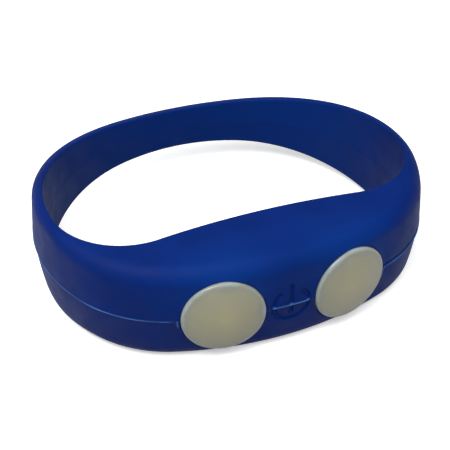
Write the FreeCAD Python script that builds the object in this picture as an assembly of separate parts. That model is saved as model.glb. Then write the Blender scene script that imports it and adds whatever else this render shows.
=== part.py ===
"""Light-up silicone wristband with a push button and two round light lenses.

The ring lies flat: +Z is up, the light module faces -Y, the wrist goes
through along Z, and the origin is under the middle of the ring at its base.
All lengths are in millimetres and all turns in degrees.
"""
import FreeCAD
import Part
import math
import os
from FreeCAD import Vector

# ---- Ring, seen from above: a chain of tangent arcs from front to back ----
FRONT_RADIUS = 66.0          # long arc that carries the lenses
FRONT_TURN = 18.5            # how far that arc turns to each side
CORNER_TURN = 44.5           # arc between the front and the side of the ring
SIDE_RADIUS = 33.2           # arc round each side
CORNER_TIGHTENING = 9.6      # how much tighter the corner arc is than the side
BACK_FLATTENING = 18.0       # how much flatter the back arc is than the side
STRAP_WALL = 3.1             # thickness of the strap
WRIST_FACE_RADIUS = 145.0    # slight bulge of the pod's wrist side
OPENING_CORNER = 13.5        # where the pod's wrist side runs into the strap
OUTER_DRAFT = 0.55           # lean of the outer wall away from the parting line
OPENING_DRAFT = 0.35         # lean of the inner wall, widest at top and bottom
BACK_HEIGHT = 8.0            # height of the strap at the very back
TAPER_START = 21.0           # behind the front, where the height starts to fall
POD_EDGE = 3.0               # rounding of the outer edges all along the pod
BACK_EDGE = 1.0              # what that rounding falls to at the very back
OPENING_EDGE = 0.4           # rounding of the edges round the wrist opening

# ---- Walls of the silicone round the light module ----
FRONT_WALL = 2.4
POD_ROOF = 2.0
WRIST_WALL = 2.7
FIT_GAP = 0.1                # silicone to module, and lens to its seat
WINDOW_MARGIN = 0.3          # silicone window round the battery door

# ---- Light lenses ----
LENS_DIAMETER = 15.0
LENS_SHOULDER = 0.3          # module wall above and below the lens head
LENS_PROUD = 0.1             # rim above the silicone, on the lens axis
LENS_CROWN = 0.7             # rise of the domed face above its rim
LENS_EDGE = 0.4              # rounding of the rim
LENS_FACE_WALL = 1.1         # thickness of the domed face
LENS_SPIGOT_DIAMETER = 12.0
LENS_WELL_DIAMETER = 9.2
LENS_SPIGOT_REACH = 0.5      # spigot past the inside of the front shell
LENS_SEAT_DEPTH = 0.6        # flat seat sunk into the curved shell

# ---- Press pad and button ----
PAD_DIAMETER = 7.6
PAD_GAP = 0.2
PAD_THICKNESS = 1.6
LENS_TO_PAD = 0.9            # across, from the pad's edge to a lens
PRESS_TRAVEL = 0.6
STEM_TRAVEL = 0.3            # what the switch stem gives of that
PLUNGER_DIAMETER = 5.0
PLUNGER_GAP = 0.15
PLUNGER_FLANGE_DIAMETER = 6.6
PLUNGER_FLANGE = 0.8
PLUNGER_REST_GAP = 0.2       # flange to the inside of the shell
PLUNGER_NOSE_DIAMETER = 3.0
PLUNGER_NOSE = 0.3
STEM_SLACK = 0.05            # nose to stem once both are pressed home

# ---- Tactile switch ----
SWITCH_SIZE = 6.2
SWITCH_BODY = 1.65
SWITCH_COVER = 0.2
SWITCH_CORNER = 0.5
STEM_DIAMETER = 3.2
STEM_HEIGHT = 0.7            # above the switch cover
STEM_FLANGE_DIAMETER = 4.4
STEM_FLANGE = 0.4
STEM_GAP = 0.15

# ---- Module shell ----
SHELL_WALL = 1.4
MODULE_CORNER = 2.5
LIP_WIDTH = 0.6              # tongue of the front shell inside the back shell
LIP_DEPTH = 0.7
LIP_GAP = 0.1
END_MARGIN = 2.6             # module past the lens heads
RIM_WIDTH = 2.6              # module past the ends of the battery door
PARTING_GAP = 0.2            # parting plane behind the circuit board

# ---- Circuit board and what it carries ----
BOARD_THICKNESS = 0.8
BOARD_GAP = 0.3
BOARD_CORNER = 1.6
BOARD_SCREW_INSET_X = 1.9
BOARD_SCREW_INSET_Z = 1.9
BOARD_BOSS_DIAMETER = 3.0
LED_SIZE = 5.0
LED_HEIGHT = 1.4
LED_WELL_DIAMETER = 4.0
LED_WELL_DEPTH = 0.3
CHIP_LENGTH = 2.9
CHIP_WIDTH = 1.6
CHIP_HEIGHT = 0.9
CHIP_LEG_WIDTH = 0.4
CHIP_LEG_REACH = 0.6
CHIP_LEG_PITCH = 0.95
CHIP_OFFSET_X = 5.4          # from the LED's centre
CHIP_OFFSET_Z = 3.0
RESISTOR_LENGTH = 1.6
RESISTOR_WIDTH = 0.8
RESISTOR_HEIGHT = 0.5
RESISTOR_OFFSET_Z = 4.6
CAPACITOR_LENGTH = 2.0
CAPACITOR_WIDTH = 1.25
CAPACITOR_HEIGHT = 0.9

# ---- Coin cells and their contacts ----
CELL_DIAMETER = 12.5
CELL_THICKNESS = 2.0
CELL_CAN_EDGE = 0.3
CELL_CAP_DIAMETER = 9.6
CELL_CAP_STEP = 0.2
CELL_GAP = 0.15
CELL_SPACING = 1.5           # between the two cells
CONTACT_SPACE = 0.6          # board to cell
CONTACT_THICKNESS = 0.15
CONTACT_LENGTH = 7.0
CONTACT_WIDTH = 4.0
CONTACT_FOOT = 2.4
STRIP_THICKNESS = 0.2
STRIP_WIDTH = 4.0

# ---- Battery door ----
DOOR_THICKNESS = 1.2
DOOR_GAP = 0.15
DOOR_LEDGE = 0.6             # shell ledge round the cell opening
LEDGE_THICKNESS = 1.0
DOOR_SCREW_OFFSET = 3.1      # screw past the edge of the cells
DOOR_END = 2.2               # door past the screws
DOOR_EDGE = 0.3
DOOR_BOSS_DIAMETER = 3.6
DOOR_BOSS_GAP = 0.3          # boss end to the circuit board
FINGER_NOTCH_RADIUS = 1.6

# ---- Screws ----
SCREW_DIAMETER = 1.4
SCREW_HEAD_DIAMETER = 2.6
SCREW_HEAD = 0.6
SCREW_GAP = 0.05
SCREW_LENGTH = 2.4
BOARD_SCREW_LENGTH = 1.9
SOCKET_WIDTH = 0.35
SOCKET_DEPTH = 0.3

CUT_PAST = 1.0               # how far a cutting shape runs past what it cuts

# ---- Depths behind the front of the pod, each from the one before ----
MODULE_FRONT = FRONT_WALL + FIT_GAP
SHELL_INSIDE = MODULE_FRONT + SHELL_WALL
FLANGE_FRONT = SHELL_INSIDE + PLUNGER_REST_GAP
NOSE_TIP = FLANGE_FRONT + PLUNGER_FLANGE + PLUNGER_NOSE
STEM_FRONT = NOSE_TIP + PRESS_TRAVEL - STEM_TRAVEL + STEM_SLACK
COVER_FRONT = STEM_FRONT + STEM_HEIGHT
SWITCH_FRONT = COVER_FRONT + SWITCH_COVER
BOARD_FRONT = SWITCH_FRONT + SWITCH_BODY
BOARD_BACK = BOARD_FRONT + BOARD_THICKNESS
PARTING = BOARD_BACK + PARTING_GAP
CELL_FRONT = BOARD_BACK + CONTACT_SPACE
CELL_BACK = CELL_FRONT + CELL_THICKNESS
DOOR_FRONT = CELL_BACK + STRIP_THICKNESS
MODULE_BACK = DOOR_FRONT + DOOR_THICKNESS
LEDGE_FRONT = DOOR_FRONT - LEDGE_THICKNESS
POD_DEPTH = MODULE_BACK + FIT_GAP + WRIST_WALL

# ---- Heights ----
CELL_OPENING = CELL_DIAMETER + 2 * CELL_GAP
MODULE_HEIGHT = max(LENS_DIAMETER + 2 * LENS_SHOULDER,
                    CELL_OPENING + 2 * SHELL_WALL)
BAND_HEIGHT = MODULE_HEIGHT + 2 * (FIT_GAP + POD_ROOF)
MIDDLE = BAND_HEIGHT / 2

# ---- Places across the module ----
CORNER_RADIUS = SIDE_RADIUS - CORNER_TIGHTENING
LENS_RADIUS = LENS_DIAMETER / 2
LENS_SEAT = FRONT_RADIUS - MODULE_FRONT - LENS_SEAT_DEPTH
LENS_SINE = (PAD_DIAMETER / 2 + LENS_TO_PAD + LENS_RADIUS) / FRONT_RADIUS
LENS_COSINE = math.sqrt(1 - LENS_SINE ** 2)
CELL_X = (CELL_DIAMETER + CELL_SPACING) / 2
DOOR_SCREW_X = CELL_X + CELL_DIAMETER / 2 + DOOR_SCREW_OFFSET
DOOR_HALF = DOOR_SCREW_X + DOOR_END
DOOR_HEIGHT = CELL_OPENING + 2 * DOOR_LEDGE - 2 * DOOR_GAP
MODULE_HALF = max(LENS_SEAT * LENS_SINE + LENS_RADIUS * LENS_COSINE + END_MARGIN,
                  DOOR_HALF + DOOR_GAP + RIM_WIDTH)
BOARD_HALF = MODULE_HALF - SHELL_WALL - BOARD_GAP
BOARD_HEIGHT = MODULE_HEIGHT - 2 * (SHELL_WALL + BOARD_GAP)
BOARD_SCREW_X = BOARD_HALF - BOARD_SCREW_INSET_X
BOARD_SCREW_Z = BOARD_HEIGHT / 2 - BOARD_SCREW_INSET_Z
LED_FRONT = BOARD_FRONT - LED_HEIGHT
LED_X = (FRONT_RADIUS - LED_FRONT) * LENS_SINE / LENS_COSINE


# ------------------------------------------------------------------ outlines
def ring_arcs():
    """Arcs of the right half, front to back: centre x, y, radius, from, to.

    An arc's angles are those of its outward normal, measured from -Y.
    The front of the ring is at y = 0 here.
    """
    arcs, x, y, turned = [], 0.0, 0.0, 0.0
    for radius, turn in ((FRONT_RADIUS, FRONT_TURN), (CORNER_RADIUS, CORNER_TURN)):
        centre_x = x - radius * math.sin(turned)
        centre_y = y + radius * math.cos(turned)
        end = turned + math.radians(turn)
        arcs.append((centre_x, centre_y, radius, turned, end))
        x = centre_x + radius * math.sin(end)
        y = centre_y - radius * math.cos(end)
        turned = end
    side_x = x - SIDE_RADIUS * math.sin(turned)
    side_y = y + SIDE_RADIUS * math.cos(turned)
    end = math.pi - math.asin(side_x / BACK_FLATTENING)
    arcs.append((side_x, side_y, SIDE_RADIUS, turned, end))
    back_y = side_y + BACK_FLATTENING * math.cos(end)
    arcs.append((0.0, back_y, SIDE_RADIUS + BACK_FLATTENING, end, math.pi))
    return arcs


RING = ring_arcs()
RING_DEPTH = RING[-1][1] + RING[-1][2]
FRONT_Y = -RING_DEPTH / 2
BACK_Y = RING_DEPTH / 2
ARC_CENTRE_Y = FRONT_Y + FRONT_RADIUS
WRIST_FACE_Y = FRONT_Y + POD_DEPTH


def opening_arcs():
    """Arcs of the wrist opening's right half, in the ring's own frame."""
    face_y = WRIST_FACE_Y - WRIST_FACE_RADIUS
    side_x, side_y, side_radius, _, side_end = RING[2]
    side_y += FRONT_Y
    reach = WRIST_FACE_RADIUS + OPENING_CORNER
    inside = side_radius - STRAP_WALL - OPENING_CORNER
    apart = math.hypot(side_x, side_y - face_y)
    along = (reach ** 2 - inside ** 2 + apart ** 2) / (2 * apart)
    aside = math.sqrt(reach ** 2 - along ** 2)
    to_x, to_y = side_x / apart, (side_y - face_y) / apart
    corner_x = along * to_x + aside * to_y
    corner_y = face_y + along * to_y - aside * to_x
    face_end = math.atan2(corner_x, corner_y - face_y)
    corner_end = math.atan2(corner_x - side_x, side_y - corner_y)
    _, back_y, back_radius, back_start, _ = RING[3]
    return [
        (0.0, face_y, -WRIST_FACE_RADIUS, 0.0, -face_end),
        (corner_x, corner_y, OPENING_CORNER, -face_end, corner_end),
        (side_x, side_y, side_radius - STRAP_WALL, corner_end, side_end),
        (0.0, back_y + FRONT_Y, back_radius - STRAP_WALL, back_start, math.pi),
    ]


def arc_edge(centre_x, centre_y, radius, start, end, z):
    """One arc whose normal turns from start to end, at height z."""
    def point(angle):
        return Vector(centre_x + radius * math.sin(angle),
                      centre_y - radius * math.cos(angle), z)
    return Part.Arc(point(start), point((start + end) / 2), point(end)).toShape()


def closed_outline(arcs, offset, z):
    """Closed wire: the arcs of one half and their mirror images, offset outwards."""
    grown = [(x, y, r + offset, a, b) for x, y, r, a, b in arcs]
    first, last = grown[0], grown[-1]
    edges = [arc_edge(0.0, first[1], first[2], -first[4], first[4], z)]
    edges += [arc_edge(x, y, r, a, b, z) for x, y, r, a, b in grown[1:-1]]
    edges.append(arc_edge(0.0, last[1], last[2], last[3], 2 * math.pi - last[3], z))
    edges += [arc_edge(-x, y, r, -b, -a, z) for x, y, r, a, b in reversed(grown[1:-1])]
    return Part.Wire(edges)


def outer_arcs():
    return [(x, y + FRONT_Y, r, a, b) for x, y, r, a, b in RING]


def height_envelope():
    """Side view of the ring: level over the pod, falling in one arc to the back."""
    drop = (BAND_HEIGHT - BACK_HEIGHT) / 2
    start_y = FRONT_Y + TAPER_START
    run = BACK_Y - start_y
    radius = (run ** 2 + drop ** 2) / (2 * drop)
    past = run + STRAP_WALL

    def fall(distance):
        return radius - math.sqrt(radius ** 2 - distance ** 2)

    def at(y, z):
        return Vector(0, y, z)
    front_y = FRONT_Y - STRAP_WALL
    top = [at(start_y + d, BAND_HEIGHT - fall(d)) for d in (0.0, past / 2, past)]
    low = [at(start_y + d, fall(d)) for d in (past, past / 2, 0.0)]
    edges = [
        Part.LineSegment(at(front_y, 0), at(front_y, BAND_HEIGHT)).toShape(),
        Part.LineSegment(at(front_y, BAND_HEIGHT), top[0]).toShape(),
        Part.Arc(*top).toShape(),
        Part.LineSegment(top[2], low[0]).toShape(),
        Part.Arc(*low).toShape(),
        Part.LineSegment(low[2], at(front_y, 0)).toShape(),
    ]
    return Part.Face(Part.Wire(edges))


# ------------------------------------------------------------- small helpers
def depth(distance):
    """The y of a plane this far behind the front of the pod."""
    return FRONT_Y + distance


def block(x0, x1, y0, y1, z0, z1):
    return Part.makeBox(x1 - x0, y1 - y0, z1 - z0, Vector(x0, y0, z0))


def rod(radius, start, end, x=0.0, z=None):
    """Cylinder along Y between two depths behind the front of the pod."""
    centre = Vector(x, depth(start), MIDDLE if z is None else z)
    return Part.makeCylinder(radius, end - start, centre, Vector(0, 1, 0))


def stadium(half_length, height, start, end):
    """Slot shape with round ends, lying along X, between two depths."""
    radius = height / 2
    straight = half_length - radius
    body = block(-straight, straight, depth(start), depth(end),
                 MIDDLE - radius, MIDDLE + radius)
    ends = [rod(radius, start, end, x) for x in (-straight, straight)]
    return body.fuse(ends).removeSplitter()


def along_lens(shape, side):
    """Place a shape made round +Z from the front arc's centre on a lens axis."""
    axis = Vector(side * LENS_SINE, -LENS_COSINE, 0)
    placed = shape.copy()
    placed.Placement = FreeCAD.Placement(
        Vector(0, ARC_CENTRE_Y, MIDDLE), FreeCAD.Rotation(Vector(0, 0, 1), axis))
    return placed


def module_form(grow):
    """The module's bow-shaped block, grown or shrunk on every side."""
    radius = FRONT_RADIUS - MODULE_FRONT + grow
    half = MODULE_HALF + grow
    back_y = depth(MODULE_BACK) + grow
    end_y = ARC_CENTRE_Y - math.sqrt(radius ** 2 - half ** 2)
    tall = MODULE_HEIGHT + 2 * grow
    z = MIDDLE - tall / 2
    left, right = Vector(-half, end_y, z), Vector(half, end_y, z)
    back_right, back_left = Vector(half, back_y, z), Vector(-half, back_y, z)
    edges = [
        Part.Arc(left, Vector(0, ARC_CENTRE_Y - radius, z), right).toShape(),
        Part.LineSegment(right, back_right).toShape(),
        Part.LineSegment(back_right, back_left).toShape(),
        Part.LineSegment(back_left, left).toShape(),
    ]
    solid = Part.Face(Part.Wire(edges)).extrude(Vector(0, 0, tall))
    upright = [e for e in solid.Edges
               if abs(e.Vertexes[0].Z - e.Vertexes[-1].Z) > tall / 2]
    return solid.makeFillet(max(MODULE_CORNER + grow, FIT_GAP), upright)


def screw(x, z, seat, length):
    """Pan-head screw driven towards the front, head seated at a depth."""
    head = rod(SCREW_HEAD_DIAMETER / 2, seat, seat + SCREW_HEAD, x, z)
    rim = [e for e in head.Edges
           if len(e.Vertexes) == 1 and e.Vertexes[0].Y > depth(seat) + SCREW_HEAD / 2]
    head = head.makeFillet(SCREW_HEAD / 3, rim)
    shank = rod(SCREW_DIAMETER / 2, seat - length, seat, x, z)
    reach = SCREW_HEAD_DIAMETER / 3
    top = depth(seat + SCREW_HEAD)
    slots = [block(x - a, x + a, top - SOCKET_DEPTH, top, z - b, z + b)
             for a, b in ((reach, SOCKET_WIDTH / 2), (SOCKET_WIDTH / 2, reach))]
    return head.fuse(shank).cut(slots)


# ------------------------------------------------------------------ silicone
def rim_edges(half):
    """Edges that run round the ring between its top or bottom and a wall."""
    def is_rim_face(face):
        u0, u1, v0, v1 = face.ParameterRange
        return abs(face.normalAt((u0 + u1) / 2, (v0 + v1) / 2).z) > 0.7

    faces = [f for f in half.Faces if is_rim_face(f)]
    rims = []
    for face in faces:
        others = [e for f in faces if not f.isSame(face) for e in f.Edges]
        for edge in face.Edges:
            middle = edge.valueAt((edge.FirstParameter + edge.LastParameter) / 2)
            shared = any(edge.isSame(e) for e in others)
            if not shared and middle.x > FIT_GAP:
                rims.append((edge, middle))
    return rims


def is_outside(point):
    """True on the ring's outer wall, within half the strap's thickness."""
    x, y, radius = RING[2][0], RING[2][1] + FRONT_Y, RING[2][2]
    if point.y < FRONT_Y + POD_DEPTH / 2:
        return True
    if point.y > BACK_Y - STRAP_WALL / 2:
        return True
    return math.hypot(point.x - x, point.y - y) > radius - STRAP_WALL / 2


def opening_block():
    """What the wrist goes through, narrowest at the parting line."""
    arcs = opening_arcs()
    wide = OPENING_DRAFT * (1 + CUT_PAST / MIDDLE)
    sections = [closed_outline(arcs, wide, -CUT_PAST),
                closed_outline(arcs, 0.0, MIDDLE),
                closed_outline(arcs, wide, BAND_HEIGHT + CUT_PAST)]
    return Part.makeLoft(sections, True, True)


def ring():
    """One drafted, rounded half under the height envelope, and its mirror image."""
    arcs = outer_arcs()
    sections = [closed_outline(arcs, -OUTER_DRAFT, 0.0),
                closed_outline(arcs, 0.0, MIDDLE),
                closed_outline(arcs, -OUTER_DRAFT, BAND_HEIGHT)]
    reach = FRONT_RADIUS
    side_view = height_envelope()
    half = Part.makeLoft(sections, True, True).common(side_view.extrude(Vector(reach, 0, 0)))
    falling = [edge for edge, middle in rim_edges(half) if middle.y > FRONT_Y + TAPER_START]
    filled = half.makeFillet(POD_EDGE, BACK_EDGE, falling)
    half = filled.cut(opening_block())
    inner = [edge for edge, middle in rim_edges(half) if not is_outside(middle)]
    half = half.makeFillet(OPENING_EDGE, inner)
    mirrored = half.mirror(Vector(0, 0, 0), Vector(1, 0, 0))
    return half.fuse(mirrored).removeSplitter()


def silicone():
    """The band with its pocket, lens holes, pad hole and battery window."""
    band = ring()
    pad = band.common(rod(PAD_DIAMETER / 2, -PAD_THICKNESS, PAD_THICKNESS))
    cuts = [module_form(FIT_GAP)]
    for side in (-1, 1):
        hole = Part.makeCylinder(LENS_RADIUS + FIT_GAP, 2 * FRONT_WALL,
                                 Vector(0, 0, FRONT_RADIUS - MODULE_FRONT - FRONT_WALL / 2))
        cuts.append(along_lens(hole, side))
    cuts.append(rod(PAD_DIAMETER / 2 + PAD_GAP, -FRONT_WALL, MODULE_FRONT + FRONT_WALL / 2))
    cuts.append(stadium(DOOR_HALF + WINDOW_MARGIN, DOOR_HEIGHT + 2 * WINDOW_MARGIN,
                        MODULE_BACK, POD_DEPTH + WRIST_WALL))
    for tool in cuts:
        band = band.cut(tool)
    return band, pad


# -------------------------------------------------------------------- module
def lens():
    """Milky cup with a domed face, a head and a spigot, round +Z."""
    rim = FRONT_RADIUS + LENS_PROUD
    spigot = LENS_SPIGOT_DIAMETER / 2
    well = LENS_WELL_DIAMETER / 2
    low = FRONT_RADIUS - SHELL_INSIDE - LENS_SPIGOT_REACH
    roof = rim + LENS_CROWN / 2 - LENS_FACE_WALL

    def at(r, h):
        return Vector(r, 0, h)
    flat = LENS_RADIUS - LENS_EDGE
    dome_radius = (flat ** 2 + LENS_CROWN ** 2) / (2 * LENS_CROWN)
    half_sine = flat / 2 / dome_radius
    half_way = at(flat / 2, rim + LENS_CROWN - dome_radius * (1 - math.sqrt(1 - half_sine ** 2)))
    bend = LENS_EDGE * (1 - math.sqrt(0.5))
    outline = [
        Part.LineSegment(at(0, roof), at(well, roof)).toShape(),
        Part.LineSegment(at(well, roof), at(well, low)).toShape(),
        Part.LineSegment(at(well, low), at(spigot, low)).toShape(),
        Part.LineSegment(at(spigot, low), at(spigot, LENS_SEAT)).toShape(),
        Part.LineSegment(at(spigot, LENS_SEAT), at(LENS_RADIUS, LENS_SEAT)).toShape(),
        Part.LineSegment(at(LENS_RADIUS, LENS_SEAT), at(LENS_RADIUS, rim - LENS_EDGE)).toShape(),
        Part.Arc(at(LENS_RADIUS, rim - LENS_EDGE), at(LENS_RADIUS - bend, rim - bend),
                 at(flat, rim)).toShape(),
        Part.Arc(at(flat, rim), half_way, at(0, rim + LENS_CROWN)).toShape(),
        Part.LineSegment(at(0, rim + LENS_CROWN), at(0, roof)).toShape(),
    ]
    face = Part.Face(Part.Wire(outline))
    return face.revolve(Vector(0, 0, 0), Vector(0, 0, 1), 360)


def split_form(shape, start, end):
    """The part of a shape between two depths."""
    reach = MODULE_HALF + POD_DEPTH
    return shape.common(block(-reach, reach, depth(start), depth(end), 0, BAND_HEIGHT))


def front_shell():
    """Front half of the module, with lens seats, button hole and board bosses."""
    outside = module_form(0.0)
    inside = module_form(-SHELL_WALL)
    shell = split_form(outside, 0, PARTING).cut(split_form(inside, 0, PARTING + CUT_PAST))
    tongue = module_form(-SHELL_WALL + LIP_WIDTH)
    tongue = split_form(tongue, PARTING, PARTING + LIP_DEPTH).cut(inside)
    shell = shell.fuse(tongue)
    bosses = []
    for side in (-1, 1):
        boss = rod(BOARD_BOSS_DIAMETER / 2, MODULE_FRONT, BOARD_FRONT,
                   side * BOARD_SCREW_X, MIDDLE + side * BOARD_SCREW_Z)
        bosses.append(boss.common(module_form(-SHELL_WALL / 2)))
    shell = shell.fuse(bosses)
    for side in (-1, 1):
        seat = Part.makeCylinder(LENS_RADIUS + FIT_GAP, FRONT_WALL + SHELL_WALL,
                                 Vector(0, 0, LENS_SEAT))
        bore = Part.makeCylinder(LENS_SPIGOT_DIAMETER / 2 + FIT_GAP, 3 * SHELL_WALL,
                                 Vector(0, 0, LENS_SEAT - 2 * SHELL_WALL))
        shell = shell.cut(along_lens(seat, side)).cut(along_lens(bore, side))
        pilot = rod(SCREW_DIAMETER / 2 + SCREW_GAP, BOARD_BACK - BOARD_SCREW_LENGTH - SCREW_GAP,
                    PARTING, side * BOARD_SCREW_X, MIDDLE + side * BOARD_SCREW_Z)
        shell = shell.cut(pilot)
    return shell.cut(rod(PLUNGER_DIAMETER / 2 + PLUNGER_GAP, 0, SHELL_INSIDE + SHELL_WALL / 2))


def back_shell():
    """Back half of the module: cell opening, door ledge and screw bosses."""
    outside = split_form(module_form(0.0), PARTING, MODULE_BACK)
    inside = split_form(module_form(-SHELL_WALL), PARTING - CUT_PAST, LEDGE_FRONT)
    groove = module_form(-SHELL_WALL + LIP_WIDTH + LIP_GAP)
    groove = split_form(groove, PARTING - CUT_PAST, PARTING + LIP_DEPTH + LIP_GAP)
    shell = outside.cut(inside).cut(groove)
    for x in (-DOOR_SCREW_X, DOOR_SCREW_X):
        shell = shell.fuse(rod(DOOR_BOSS_DIAMETER / 2, BOARD_BACK + DOOR_BOSS_GAP,
                               LEDGE_FRONT + LEDGE_THICKNESS / 2, x))
    shell = shell.cut(stadium(CELL_X + CELL_OPENING / 2, CELL_OPENING, PARTING, MODULE_BACK))
    shell = shell.cut(stadium(DOOR_HALF + DOOR_GAP, DOOR_HEIGHT + 2 * DOOR_GAP,
                              DOOR_FRONT, MODULE_BACK + CUT_PAST))
    for x in (-DOOR_SCREW_X, DOOR_SCREW_X):
        shell = shell.cut(rod(SCREW_DIAMETER / 2 + SCREW_GAP, PARTING - CUT_PAST,
                              DOOR_FRONT + CUT_PAST, x))
    return shell


def battery_door():
    """Slot-shaped lid with two counterbored screw holes and a lifting notch."""
    door = stadium(DOOR_HALF, DOOR_HEIGHT, DOOR_FRONT, MODULE_BACK)
    rim = [e for e in door.Edges if min(v.Y for v in e.Vertexes) > depth(MODULE_BACK) - 1e-4]
    door = door.makeFillet(DOOR_EDGE, rim)
    for x in (-DOOR_SCREW_X, DOOR_SCREW_X):
        door = door.cut(rod(SCREW_DIAMETER / 2 + SCREW_GAP, DOOR_FRONT - CUT_PAST,
                            MODULE_BACK + CUT_PAST, x))
        door = door.cut(rod(SCREW_HEAD_DIAMETER / 2 + DOOR_GAP, MODULE_BACK - SCREW_HEAD,
                            MODULE_BACK + CUT_PAST, x))
    notch = Part.makeCylinder(FINGER_NOTCH_RADIUS, CELL_SPACING * 4,
                              Vector(-CELL_SPACING * 2, depth(MODULE_BACK) + FINGER_NOTCH_RADIUS / 2,
                                     MIDDLE + DOOR_HEIGHT / 2), Vector(1, 0, 0))
    return door.cut(notch)


def plunger():
    """Button barrel from the pad's back through the shell to a short nose."""
    barrel = rod(PLUNGER_DIAMETER / 2, PAD_THICKNESS, FLANGE_FRONT)
    flange = rod(PLUNGER_FLANGE_DIAMETER / 2, FLANGE_FRONT, FLANGE_FRONT + PLUNGER_FLANGE)
    nose = rod(PLUNGER_NOSE_DIAMETER / 2, FLANGE_FRONT + PLUNGER_FLANGE, NOSE_TIP)
    return barrel.fuse([flange, nose]).removeSplitter()


# --------------------------------------------------------------- electronics
def circuit_board():
    half_height = BOARD_HEIGHT / 2
    board = block(-BOARD_HALF, BOARD_HALF, depth(BOARD_FRONT), depth(BOARD_BACK),
                  MIDDLE - half_height, MIDDLE + half_height)
    corners = [e for e in board.Edges
               if abs(e.Vertexes[0].Y - e.Vertexes[-1].Y) > BOARD_THICKNESS / 2]
    board = board.makeFillet(BOARD_CORNER, corners)
    for side in (-1, 1):
        board = board.cut(rod(SCREW_DIAMETER / 2 + SCREW_GAP,
                              BOARD_FRONT - CUT_PAST, BOARD_BACK + CUT_PAST,
                              side * BOARD_SCREW_X, MIDDLE + side * BOARD_SCREW_Z))
    return board


def square_body(size, corner, start, end):
    """Square package round the module's middle, with rounded upright corners."""
    half = size / 2
    body = block(-half, half, depth(start), depth(end), MIDDLE - half, MIDDLE + half)
    edges = [e for e in body.Edges
             if abs(e.Vertexes[0].Y - e.Vertexes[-1].Y) > (end - start) / 2]
    return body.makeFillet(corner, edges)


def switch_base():
    body = square_body(SWITCH_SIZE, SWITCH_CORNER, SWITCH_FRONT, BOARD_FRONT)
    recess = STEM_FLANGE_DIAMETER / 2 + STEM_GAP
    return body.cut(rod(recess, SWITCH_FRONT - CUT_PAST, BOARD_FRONT - SHELL_WALL / 4))


def switch_cover():
    plate = square_body(SWITCH_SIZE, SWITCH_CORNER, COVER_FRONT, SWITCH_FRONT)
    return plate.cut(rod(STEM_DIAMETER / 2 + STEM_GAP, 0, BOARD_FRONT))


def switch_stem():
    flange_front = SWITCH_FRONT + SCREW_GAP
    shaft = rod(STEM_DIAMETER / 2, STEM_FRONT, flange_front)
    flange = rod(STEM_FLANGE_DIAMETER / 2, flange_front, flange_front + STEM_FLANGE)
    return shaft.fuse(flange).removeSplitter()


def led(side):
    x = side * LED_X
    half = LED_SIZE / 2
    body = block(x - half, x + half, depth(LED_FRONT), depth(BOARD_FRONT),
                 MIDDLE - half, MIDDLE + half)
    return body.cut(rod(LED_WELL_DIAMETER / 2, LED_FRONT - CUT_PAST,
                        LED_FRONT + LED_WELL_DEPTH, x))


def controller_chip():
    x, z = -(LED_X + CHIP_OFFSET_X), MIDDLE + CHIP_OFFSET_Z
    front, back = depth(BOARD_FRONT - CHIP_HEIGHT), depth(BOARD_FRONT)
    body = block(x - CHIP_LENGTH / 2, x + CHIP_LENGTH / 2, front, back,
                 z - CHIP_WIDTH / 2, z + CHIP_WIDTH / 2)
    legs = []
    for step in (-1, 0, 1):
        centre = x + step * CHIP_LEG_PITCH
        reach = CHIP_WIDTH / 2 + CHIP_LEG_REACH
        legs.append(block(centre - CHIP_LEG_WIDTH / 2, centre + CHIP_LEG_WIDTH / 2,
                          back - CHIP_HEIGHT / 4, back, z - reach, z + reach))
    return body.fuse(legs)


def resistors():
    """One chip resistor above and one below each LED."""
    bodies = []
    for side in (-1, 1):
        for up in (-1, 1):
            x, z = side * LED_X, MIDDLE + up * RESISTOR_OFFSET_Z
            bodies.append(block(x - RESISTOR_LENGTH / 2, x + RESISTOR_LENGTH / 2,
                                depth(BOARD_FRONT - RESISTOR_HEIGHT), depth(BOARD_FRONT),
                                z - RESISTOR_WIDTH / 2, z + RESISTOR_WIDTH / 2))
    return Part.Compound(bodies)


def capacitor():
    x, z = LED_X + CHIP_OFFSET_X, MIDDLE - CHIP_OFFSET_Z
    return block(x - CAPACITOR_WIDTH / 2, x + CAPACITOR_WIDTH / 2,
                 depth(BOARD_FRONT - CAPACITOR_HEIGHT), depth(BOARD_FRONT),
                 z - CAPACITOR_LENGTH / 2, z + CAPACITOR_LENGTH / 2)


def coin_cell(side):
    """Can with a rounded edge towards the door and a smaller cap to the board."""
    x = side * CELL_X
    can = rod(CELL_DIAMETER / 2, CELL_FRONT + CELL_CAP_STEP, CELL_BACK, x)
    rim = [e for e in can.Edges
           if len(e.Vertexes) == 1 and e.Vertexes[0].Y > depth(CELL_BACK) - 1e-4]
    can = can.makeFillet(CELL_CAN_EDGE, rim)
    cap = rod(CELL_CAP_DIAMETER / 2, CELL_FRONT, CELL_FRONT + CELL_CAP_STEP, x)
    return can.fuse(cap)


def cell_contact(side):
    """Leaf spring: a foot on the board and a tongue that rises to the cell."""
    rise = CONTACT_SPACE - CONTACT_THICKNESS
    start = -CONTACT_LENGTH / 2
    path = [(start, 0.0), (start + CONTACT_FOOT, 0.0),
            (start + CONTACT_LENGTH - CONTACT_FOOT / 2, rise), (start + CONTACT_LENGTH, rise)]
    lower = [Vector(side * CELL_X + side * px, depth(BOARD_BACK) + py, MIDDLE - CONTACT_WIDTH / 2)
             for px, py in path]
    upper = [p + Vector(0, CONTACT_THICKNESS, 0) for p in reversed(lower)]
    loop = lower + upper + [lower[0]]
    return Part.Face(Part.makePolygon(loop)).extrude(Vector(0, 0, CONTACT_WIDTH))


def bridge_strip():
    """Flat strip between the door and both cells."""
    return stadium(CELL_X + STRIP_WIDTH / 2, STRIP_WIDTH, CELL_BACK, DOOR_FRONT)


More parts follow.
